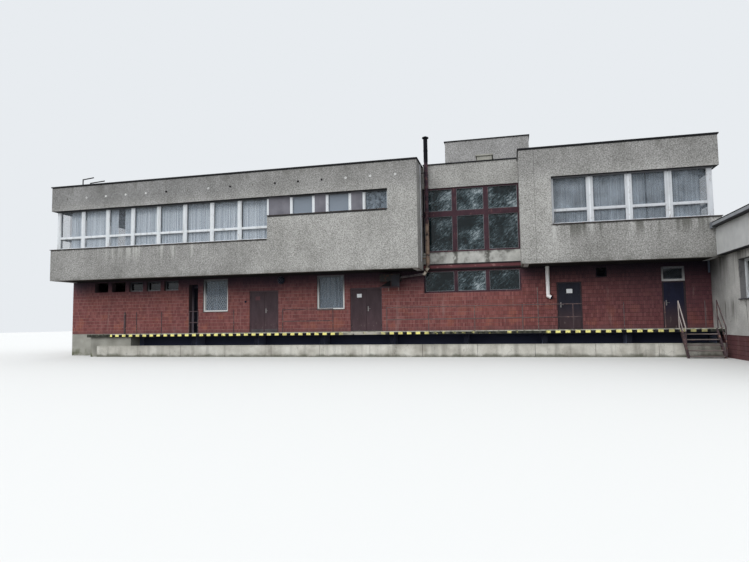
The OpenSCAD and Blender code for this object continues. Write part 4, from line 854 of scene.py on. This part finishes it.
def tile_face(shape, nodes, axis, level, outward):
    """Lays tiles on the flat faces of some nodes, cut at the openings."""
    us, vs, _ = flat_cells(nodes, axis, level)
    gaps = holes(nodes, axis, level)
    near, far = sorted((level - outward * MM, level + outward * TILE_PROUD))
    for i in range(math.ceil((us[-1] - us[0]) / TILE_PITCH[0])):
        u0 = us[0] + i * TILE_PITCH[0]
        u1 = min(u0 + TILE_PITCH[0] - TILE_JOINTS[0], us[-1])
        for k in range(math.ceil((vs[-1] - vs[0]) / TILE_PITCH[1])):
            v0 = vs[0] + k * TILE_PITCH[1]
            parts = [(u0, u1, v0, min(v0 + TILE_PITCH[1] - TILE_JOINTS[1], vs[-1]))]
            for gap in gaps:
                parts = [left for part in parts for left in without(part, gap)]
            for part in parts:
                shape.box(lift(axis, near, part[0], part[2]), lift(axis, far, part[1], part[3]))


def clusters(values, gap):
    """The lowest and highest of each run of values, where a step over gap starts a new run."""
    values = sorted(values)
    groups = [[values[0], values[0]]]
    for value in values[1:]:
        if value - groups[-1][1] < gap:
            groups[-1][1] = value
        else:
            groups.append([value, value])
    return groups


# Wall tiles

annex_low, annex_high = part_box("annex_base")
for name, faces in (
        ("front_wall_tiles", [(["ground_front_wall", "door_lintels"], 1, GROUND_FACE, -1)]),
        ("back_wall_tiles", [(["ground_back_wall"], 1, GROUND_BACK, 1)]),
        ("end_wall_tiles", [(["ground_end_walls", "ground_front_wall", "ground_back_wall"], 0, LEFT, -1),
                            (["ground_end_walls", "ground_back_wall"], 0, RIGHT, 1)]),
        ("plinth_tiles", [(["annex_base"], 1, annex_low.y, -1), (["annex_base"], 1, annex_high.y, 1),
                          (["annex_base"], 0, annex_low.x, -1), (["annex_base"], 0, annex_high.x, 1)])):
    tiles = Shape()
    for face in faces:
        tile_face(tiles, *face)
    tiles.piece(name, "red_tile", TILE)


# Curtains: gathered cloth hung from a track behind the windows

def curtain(name, x0, x1, z0, z1, y, folds, depth, cloth, track, seed, gather=0.0):
    """A hung curtain from x0 to x1. gather pulls its lower edge towards x0 by that share of its width."""
    chance = random.Random(seed)
    waves = [(folds * chance.uniform(0.8, 1.25) * pace, chance.uniform(0, 6.28), share)
             for pace, share in ((1, 0.55), (1.9, 0.3), (0.45, 0.15))]
    across, down = int(folds * 14), 14
    points = []
    for j in range(down + 1):
        drop = j / down
        for i in range(across + 1):
            t = i / across
            swing = sum(share * math.sin(6.2832 * count * t + phase + 0.5 * drop * math.sin(5 * t + phase))
                        for count, phase, share in waves)
            x = x0 + (x1 - x0) * t * (1 - gather * drop)
            points.append((x, y + depth * swing * (0.55 + 0.45 * drop), z1 - (z1 - z0) * drop))
    row = across + 1
    shape = Shape()
    shape.add(points, [(j * row + i, j * row + i + 1, (j + 1) * row + i + 1, (j + 1) * row + i)
                       for j in range(down) for i in range(across)])
    piece = shape.piece(name, None, cloth, smooth=True)
    area = sum(face.area for face in piece.data.polygons)
    area / (z1 - z0)
    z1 - z0


TRACK_DEEP, TRACK_TALL = 0.07, 0.03


def curtain_track(name, x0, x1, y0, z0):
    """A curtain rail with a lip along its back."""
    y1 = y0 + TRACK_DEEP
    boxes(name, "white_frames", CLEAN_WHITE, ((x0, y0, z0), (x1, y1, z0 + TRACK_TALL)),
          ((x0, y1 - 4 * MM, z0 - 6 * MM), (x1, y1, z0)))


front_panes = panes("front_window_frames", 1, FRAME_FACE)
lower_panes = sorted(pane for pane in front_panes if pane[2] < SILL + 0.2)
WINGS = {"left": [pane for pane in lower_panes if pane[1] < BAY_LEFT],
         "right": [pane for pane in lower_panes if pane[0] > BAY_RIGHT]}
for side, bays in WINGS.items():
    curtain_track(side + "_curtain_track", bays[0][0], bays[-1][1], INNER_FACE, HEAD)

# Each curtain of a wing: its bay, where it starts and ends as shares of the bay, its folds, their depth in
# metres and how far its foot is pulled in
CURTAINS = {
    "left": [(0, 0.45, 1.0, 6, 0.02, 0.05), (1, 0.0, 1.0, 5, 0.015, 0.0), (2, 0.0, 0.36, 5, 0.024, 0.05),
             (3, 0.0, 1.0, 9, 0.026, 0.0), (4, 0.0, 1.0, 11, 0.028, 0.02), (5, 0.0, 0.98, 9, 0.03, 0.0),
             (6, 0.0, 1.0, 10, 0.028, 0.03), (7, 0.02, 1.0, 8, 0.028, 0.0), (2, 0.66, 1.0, 5, 0.024, 0.0)],
    "right": [(0, 0.0, 1.0, 9, 0.02, 0.0), (1, 0.0, 1.0, 7, 0.022, 0.03), (2, 0.0, 0.42, 5, 0.026, 0.0),
              (2, 0.46, 1.0, 6, 0.026, 0.0), (3, 0.0, 0.8, 8, 0.024, 0.02)]}
CURTAIN_SEEDS = {"left": 10, "right": 30}
UPPER_CLOTH = curtain_cloth("upper_curtain", "#9fa8b0", "#d3dae0")
for side, plan in CURTAINS.items():
    for i, (bay, start, stop, folds, depth, gather) in enumerate(plan):
        left, right = WINGS[side][bay][:2]
        x0, x1 = (left + share * (right - left) for share in (start, stop))
        curtain(f"{side}_curtain_{i + 1}", x0, x1, SILL + 0.05, HEAD, INNER_FACE + 0.035, folds, depth,
                UPPER_CLOTH, side + "_curtain_track", CURTAIN_SEEDS[side] + i, gather)

ground_windows = [pane for pane in panes("ground_window_frames", 1, BAY_FRAME_FACE) if pane[3] - pane[2] > 1]
ground_cloths = (curtain_cloth("lace_curtain", "#66727d", "#8b98a3", lace=True),
                 curtain_cloth("ground_curtain", "#66727d", "#a9b6c0"))
for name, (x0, x1, z0, z1), cloth, folds in zip(("first", "second"), ground_windows, ground_cloths, (7, 9)):
    rail = name + "_ground_curtain_track"
    hung = z1 + 0.04
    curtain_track(rail, x0, x1, BAY_FRAME_FACE + 0.13, hung)
    curtain(name + "_ground_curtain", x0 + 0.02, x1 - 0.02, z0 - 0.02, hung, BAY_FRAME_FACE + 0.165,
            folds, 0.03, cloth, rail, 60 + folds)


# Window details: the bead that holds each pane, cover strips on the wide posts

BEAD_BACK, BEAD_DEEP = 0.016, 0.03
STRIP_PROUD = 0.006


def beads(name, node, axis, level, outward=-1, slot="white_frames", material=None, width=0.016):
    shape = Shape()
    near, far = sorted(level - outward * depth for depth in (BEAD_BACK, BEAD_BACK + BEAD_DEEP))
    for pane in panes(node, axis, level):
        shape.ring(axis, near, far, pane, width)
    shape.piece(name, slot, material)


beads("front_window_beads", "front_window_frames", 1, FRAME_FACE)
beads("stair_window_beads", "stair_window_frames", 1, BAY_FRAME_FACE, slot="brown_frames",
      material=SASH_LINE, width=0.013)
for name, level in (("big", BAY_FRAME_FACE), ("small", GROUND_FACE + 0.11), ("transom", LEAF_FACE)):
    beads(name + "_ground_window_beads", "ground_window_frames", 1, level)
beads("back_window_beads", "back_window_frames", 1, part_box("back_window_frames")[1].y, 1)
low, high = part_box("end_window_frames")
for side, outward, level in (("left", -1, low.x), ("right", 1, high.x)):
    beads(side + "_end_window_beads", "end_window_frames", 0, level, outward)
low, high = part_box("annex_window_frames")
for side, axis, outward, level in (("left", 0, -1, low.x), ("right", 0, 1, high.x),
                                   ("front", 1, -1, low.y), ("back", 1, 1, high.y)):
    beads(f"annex_{side}_beads", "annex_window_frames", axis, level, outward, material=CLEAN_WHITE)


def cover_strips(name, slot, found, low, high, face, width):
    """Upright strips over the middles of the posts between the columns of panes that were found."""
    columns = sorted({pane[:2] for pane in found})
    middles = [(left[1] + right[0]) / 2 for left, right in zip(columns, columns[1:])]
    boxes(name, slot, None,
          *[((x - width / 2, face - STRIP_PROUD, low), (x + width / 2, face, high)) for x in middles])


for side, bays in WINGS.items():
    cover_strips(side + "_window_strips", "white_frames", bays, SILL + 0.03, HEAD - 0.01, FRAME_FACE, 0.05)
bay_panes = panes("stair_window_frames", 1, BAY_FRAME_FACE)
for name, group in (("tall_stair_window_strips", [pane for pane in bay_panes if pane[2] > SOFFIT]),
                    ("low_stair_window_strips", [pane for pane in bay_panes if pane[2] < SOFFIT])):
    foot, top = min(pane[2] for pane in group) - 0.06, max(pane[3] for pane in group) + 0.06
    cover_strips(name, "brown_frames", group, foot, top, BAY_FRAME_FACE, 0.03)


# Round vents in the parapet: a thin liner with a lip in each hole

LINER_FRONT, LINER_BACK = FRONT - 8 * MM, FRONT + 0.12


def vent_places():
    spots = [v.co for v in frame["nodes"]["upper_parapets"].data.vertices
             if abs(v.co.y - FRONT) < MM and HEAD + 0.3 < v.co.z < PARAPET_TOP - 0.3 and v.co.x < BAY_LEFT]
    z = (min(s.z for s in spots) + max(s.z for s in spots)) / 2
    return [((low + high) / 2, z, (high - low) / 2) for low, high in clusters([s.x for s in spots], 0.3)]


def liner(shape, x, z, radius, bore):
    """A short tube that stands a little proud of the wall; bore is the share of the radius that is open."""
    sides, inner = 24, radius * bore
    rims = ((LINER_FRONT, radius), (LINER_BACK, radius), (LINER_BACK, inner), (LINER_FRONT, inner))
    points = [(x + r * circle(k, sides)[0], y, z + r * circle(k, sides)[1])
              for y, r in rims for k in range(sides)]
    faces = []
    for a in range(4):
        here, there = a * sides, (a + 1) % 4 * sides
        faces += [(here + k, here + (k + 1) % sides, there + (k + 1) % sides, there + k)
                  for k in range(sides)]
    shape.add(points, faces)


# The vents counted from the left, by how their liners look now
for name, numbers, bore, shades in (
        ("white_vent_liners", (2, 3, 4, 5, 8, 14, 15, 16), 0.45, ("#d3d4d2", "#ecece9")),
        ("dark_vent_liners", (6, 9, 11, 12, 13), 0.8, ("#1f1f22", "#3a3a3c")),
        ("grey_vent_liners", (1, 7, 10), 0.6, ("#8a8a86", "#a3a39e"))):
    vents = Shape()
    for number, (x, z, radius) in enumerate(vent_places(), 1):
        if number in numbers:
            liner(vents, x, z, radius, bore)
    vents.piece(name, "white_frames", painted_metal(name, *shades, 0.6))


# Small things on the ground-floor wall: the bell, the wire guard of the lamp, door plates and kick plates

bell = Shape()
bell.lathe((BELL_X, GROUND_FACE - TILE_PROUD, BELL_Z), (0, -1, 0),
           [(0, 0.055), (0.012, 0.055), (0.018, 0.04), (0.045, 0.034), (0.05, 0.02)])
bell.piece("wall_bell", "lamp_paint")

low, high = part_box("wall_lamp")
middle, reach = (low + high) / 2, (high.x - low.x) / 2
WIRE, WIRE_GAP, WIRE_BULGE = 0.005, 0.012, 0.03
guard = Shape()
for share in (0.55, 1.0):
    y = low.y - WIRE_GAP - WIRE_BULGE * (1 - share)
    spots = [(middle.x + reach * share * cosine, y, middle.z + reach * share * sine)
             for cosine, sine in (circle(k, 24) for k in range(25))]
    for start, end in zip(spots, spots[1:]):
        guard.bar(start, end, WIRE, 6)
for k in range(8):
    cosine, sine = circle(k, 8)
    rim = Vector((middle.x + reach * cosine, low.y - WIRE_GAP, middle.z + reach * sine))
    guard.bar(rim, (middle.x, low.y - WIRE_BULGE, middle.z), WIRE, 6)
    guard.bar(rim, rim + Vector((0, 0.06, 0)), WIRE, 6)
guard.piece("lamp_guard", "lamp_paint", painted_metal("guard_wire", "#4a4f5e", "#646a78"))

PLATE_T, SCREW_IN = 0.003, 0.015


def plate(name, x0, x1, z0, z1, body, material):
    """A bare plate screwed to a door leaf."""
    shape = Shape()
    shape.box((x0, LEAF_FACE - PLATE_T, z0), (x1, LEAF_FACE, z1))
    for x in (x0 + SCREW_IN, x1 - SCREW_IN):
        for z in (z0 + SCREW_IN, z1 - SCREW_IN):
            shape.lathe((x, LEAF_FACE - PLATE_T, z), (0, -1, 0), [(0, 0.005), (0.0015, 0.004)], 10)
    shape.piece(name, "white_frames", material, body)


PLATE_WHITE = painted_metal("plate_paint", "#dfe2e4", "#eef0f1", 0.6)
plate("first_door_plate", -4.824, -4.584, 2.69, 2.88, "first_door_left_leaf",
      painted_metal("label_paint", "#553a3f", "#664649", 0.7))
plate("second_door_plate", 0.367, 0.594, 2.707, 2.878, "second_door_left_leaf", PLATE_WHITE)
plate("third_door_plate", 9.758, 10.002, 2.671, 2.850, "third_door_leaf", PLATE_WHITE)
for door, tall in (("first_door", 0.14), ("second_door", 0.035)):
    for side in ("left", "right"):
        leaf = f"{door}_{side}_leaf"
        low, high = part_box(leaf)
        foot = low.z + 0.01
        plate(f"{door}_{side}_kick_plate", low.x + 0.04, high.x - 0.04, foot, foot + tall, leaf, KICK_GREY)


# Roof edges: seams over the copings, a cap and the end of the gutter on the side wing

COPING_DEPTH, COPING_T = 0.39, 0.05
SEAM_OUT, SEAM_HALF = 2 * MM, 0.02
CAP, CAP_DROP = 0.012, 0.05
low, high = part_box("coping")
seam_foot, seam_top = PARAPET_TOP - SEAM_OUT, PARAPET_TOP + COPING_T + SEAM_OUT
seams = []
for start, stop in ((LEFT, BAY_LEFT), (BAY_RIGHT, RIGHT)):
    for x in [start + 2 * k for k in range(1, int((stop - start) / 2))]:
        for y in (low.y, high.y - COPING_DEPTH):
            seams.append(((x - SEAM_HALF, y - SEAM_OUT, seam_foot),
                          (x + SEAM_HALF, y + COPING_DEPTH + SEAM_OUT, seam_top)))
for x in (low.x, high.x - COPING_DEPTH):
    for y in [2 * k - 4.8 for k in range(6)]:
        seams.append(((x - SEAM_OUT, y - SEAM_HALF, seam_foot),
                      (x + COPING_DEPTH + SEAM_OUT, y + SEAM_HALF, seam_top)))
boxes("coping_seams", "coping_metal", DARK_METAL, *seams)

low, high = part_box("annex_fascia")
foot, top = ANNEX_TOP - CAP_DROP, ANNEX_TOP + CAP
boxes("annex_edge_cap", "coping_metal", DARK_METAL,
      ((low.x - CAP, low.y - CAP, foot), (low.x, FRONT - 0.01, top)),
      ((low.x, low.y - CAP, foot), (high.x + CAP, low.y, top)),
      ((high.x, low.y, foot), (high.x + CAP, high.y, top)),
      ((RIGHT + 0.01, high.y, foot), (high.x + CAP, high.y + CAP, top)))
low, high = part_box("annex_gutter")
boxes("gutter_end", "gutter_metal", painted_metal("gutter_end", "#6d7076", "#85888d", 0.6),
      ((low.x - 0.01, high.y - 0.24, low.z - 0.03), (high.x, high.y - 0.005, high.z + 0.01)))


# Window sills of the side wing, and the lower rail of the low windows

SILL_OUT, SILL_IN, SILL_EAR, SILL_UP = 0.06, 0.195, 0.03, 0.012
spans = []
for outward, level in zip((-1, 1), (corner.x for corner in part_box("annex_side_walls"))):
    for u0, u1, v0, _ in holes(["annex_side_walls"], 0, level):
        near, far = sorted((level + outward * SILL_OUT, level))
        spans.append(((near, u0 - SILL_EAR, v0 - 0.03), (far, u1 + SILL_EAR, v0 + SILL_UP)))
        near, far = sorted((level, level - outward * SILL_IN))
        spans.append(((near, u0, v0), (far, u1, v0 + SILL_UP)))
boxes("annex_window_sills", "sill_metal", painted_metal("annex_sill", "#3a3a3d", "#55555a", 0.6), *spans)
ribbon = [pane for pane in front_panes if pane[0] > RIBBON[0] - 0.1 and pane[1] < BAY_LEFT]
rail = min(pane[2] for pane in ribbon)
boxes("ribbon_window_rail", "white_frames", None,
      *[((u0, FRAME_FACE - STRIP_PROUD, rail - 0.03), (u1, FRAME_FACE + 0.01, rail + 0.03))
        for u0, u1, _, _ in ribbon])


# Dock: plates under the posts and worn noses on the treads of the stair

feet = [v.co.x for v in frame["nodes"]["dock_posts"].data.vertices if abs(v.co.z - GROUND_FLOOR) < MM]
low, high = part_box("dock_posts")
boxes("post_plates", "rail_paint", None,
      *[((x0 - 0.03, low.y - 0.004, GROUND_FLOOR - MM), (x1 + 0.03, high.y + 0.02, GROUND_FLOOR + 0.008))
        for x0, x1 in clusters(feet, 0.2)])
low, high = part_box("stair_treads")
RISE, GOING = 0.205, 0.165
boxes("tread_noses", "rail_paint", painted_metal("nose_paint", "#6f6663", "#8a807b", 0.6),
      *[((low.x + 0.01, low.y + GOING * k - 0.003, low.z + RISE * k + 0.012),
         (high.x - 0.01, low.y + GOING * k + 0.03, low.z + RISE * k + 0.043)) for k in range(5)])


# Pipes: collars and clamps of the flue, a conduit, the heater, the downpipe and a pipe under the soffit

FLUE_COLLARS = ((4.95, FLUE_R), (5.89, FLUE_R), (7.4, FLUE_R), (9.35, FLUE_R + 0.008))
FLUE_CLAMPS = (8.36, 6.43, 4.54)
HEATER_LEGS, HEATER_FOOT = (1.976, 2.435), 2.95
SOFFIT_PIPE, SOFFIT_PIPE_FOOT, SOFFIT_PIPE_R = (15.28, -4.6), 3.36, 0.04
collars = Shape()
for z, radius in FLUE_COLLARS:
    collars.collar((FLUE_X, FLUE_Y, z), radius)
collars.piece("flue_collars", "flue_metal")
clamps = Shape()
for z in FLUE_CLAMPS:
    clamps.bar((BAY_LEFT - 2 * MM, FLUE_Y + 0.02, z), (FLUE_X - FLUE_R, FLUE_Y + 0.02, z), 0.012)
    clamps.collar((FLUE_X, FLUE_Y, z - 0.018), FLUE_R, 0.036, 0.008)
clamps.piece("flue_clamps", "coping_metal", DARK_METAL)

conduit = Shape()
x = BAY_LEFT + CONDUIT_R
conduit.bar((x, CONDUIT_Y, SOFFIT + 0.35), (x, CONDUIT_Y, PARAPET_TOP - 0.02), CONDUIT_R, 16)
for k in range(4):
    conduit.collar((x, CONDUIT_Y, SOFFIT + 0.6 + 1.3 * k), CONDUIT_R, 0.03, 0.006)
conduit.piece("bay_conduit", "coping_metal", painted_metal("conduit_metal", "#a5a8ae", "#cfd1d4"))

low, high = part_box("wall_heater")
# A thin plate painted near black, as painted shade, stands for the inside of the heater's opening.
wedge = Shape()
corners = ((0.03, 0.05), (0.52, 0.05), (0.52, 0.33))
wedge.add([(low.x + u, y, low.z + v) for y in (low.y - 0.004, low.y) for u, v in corners],
          [(0, 1, 2), (5, 4, 3), (0, 3, 4, 1), (1, 4, 5, 2), (2, 5, 3, 0)])
wedge.piece("heater_opening", "heater_metal", painted_metal("heater_opening", "#08090c", "#121318", 0.8))
boxes("heater_panels", "heater_metal", painted_metal("heater_panel", "#2c2c32", "#3f3e45", 0.6),
      ((high.x - 0.4, low.y - 0.006, low.z + 0.06), (high.x - 0.03, low.y, high.z - 0.05)),
      ((low.x, low.y - 0.008, low.z), (high.x, low.y, low.z + 0.035)))
boxes("heater_legs", "heater_metal", painted_metal("heater_legs", "#8a6f66", "#a08a80", 0.6),
      *[((x - 0.012, low.y + 0.08, HEATER_FOOT), (x + 0.012, low.y + 0.105, low.z)) for x in HEATER_LEGS])

low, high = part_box("downpipe")
along = Vector((150, -60, -90)).normalized()
outlet = Vector((low.x + 0.233, high.y - 0.16, low.z + 0.07))
# The mouth of the downpipe: a dark flared end whose closed face stands for the open pipe as painted shade.
mouth = Shape()
mouth.lathe(outlet - along * 0.03, along, [(0, 0.081), (0.026, 0.0835), (0.032, 0.0835), (0.033, 0.066)])
mouth.piece("downpipe_mouth", "lamp_paint")
rings = Shape()
for z in (SOFFIT - 0.08, SOFFIT - 0.75):
    rings.collar((low.x + 0.083, high.y - 0.1, z), 0.08)
rings.piece("downpipe_collars", "downpipe_plastic")
pipe = Shape()
pipe.bar((*SOFFIT_PIPE, SOFFIT_PIPE_FOOT), (*SOFFIT_PIPE, SOFFIT), SOFFIT_PIPE_R, 20)
pipe.piece("soffit_pipe", "downpipe_plastic", painted_metal("soffit_pipe", "#4f5663", "#636b79", 0.6))


# Camera, light and floor

YAW, PITCH, ROLL = (math.radians(angle) for angle in (13.53380999, 4.25502647, -0.79509632))
CAMERA_PLACE = (7.4, -30.0, 1.5)
FLOOR_HALF = 150
ahead = Vector((-math.sin(YAW), math.cos(YAW), 0))
across = Vector((math.cos(YAW), math.sin(YAW), 0))
up = Vector((0, 0, 1))
view = math.cos(PITCH) * ahead + math.sin(PITCH) * up
tip = math.cos(PITCH) * up - math.sin(PITCH) * ahead
sideways = math.cos(ROLL) * across + math.sin(ROLL) * tip
upright = math.cos(ROLL) * tip - math.sin(ROLL) * across
camera = bpy.data.objects.new("camera", bpy.data.cameras.new("camera"))
camera.data.sensor_width = 36
camera.data.lens = 27.12
camera.data.clip_end = 500
turned = Matrix((sideways, upright, -view)).transposed().to_4x4()
camera.matrix_world = Matrix.Translation(CAMERA_PLACE) @ turned
bpy.context.scene.collection.objects.link(camera)
bpy.context.scene.camera = camera

floor_mesh = bpy.data.meshes.new("floor")
corners = [(x * FLOOR_HALF, y * FLOOR_HALF, -MM) for x, y in ((-1, -1), (1, -1), (1, 1), (-1, 1))]
floor_mesh.from_pydata(corners, [], [(0, 1, 2, 3)])
floor = bpy.data.objects.new("floor", floor_mesh)
bpy.context.scene.collection.objects.link(floor)
ground = Paint("floor")
ground.colour = ground.mix("#77756f", "#d9d9d6", ground.add("LightPath").outputs["Is Camera Ray"])
floor_mesh.materials.append(ground.done(roughness=0.95))

world = bpy.data.worlds.new("studio")
world.use_nodes = True
bpy.context.scene.world = world
sky = Nodes(world.node_tree)
rays = sky.add("LightPath").outputs
shown = sky.add("Math", [rays["Is Camera Ray"], rays["Is Glossy Ray"]], operation="MAXIMUM").outputs[0]
shown = sky.add("Math", [rays["Is Transmission Ray"], shown], operation="MAXIMUM").outputs[0]
lit = sky.add("Background", ["#f2f5fa", 1.28]).outputs[0]
backdrop = sky.add("Background", ["#e8ecf0"]).outputs[0]
sky.add("OutputWorld", [sky.add("MixShader", [shown, lit, backdrop]).outputs[0]])

sun = bpy.data.objects.new("sun", bpy.data.lights.new("sun", "SUN"))
sun.data.energy = 1.35
sun.data.angle = math.radians(50)
sun.rotation_euler = (math.radians(52), 0, math.radians(-28))
bpy.context.scene.collection.objects.link(sun)

bpy.context.scene.view_settings.view_transform = "Standard"
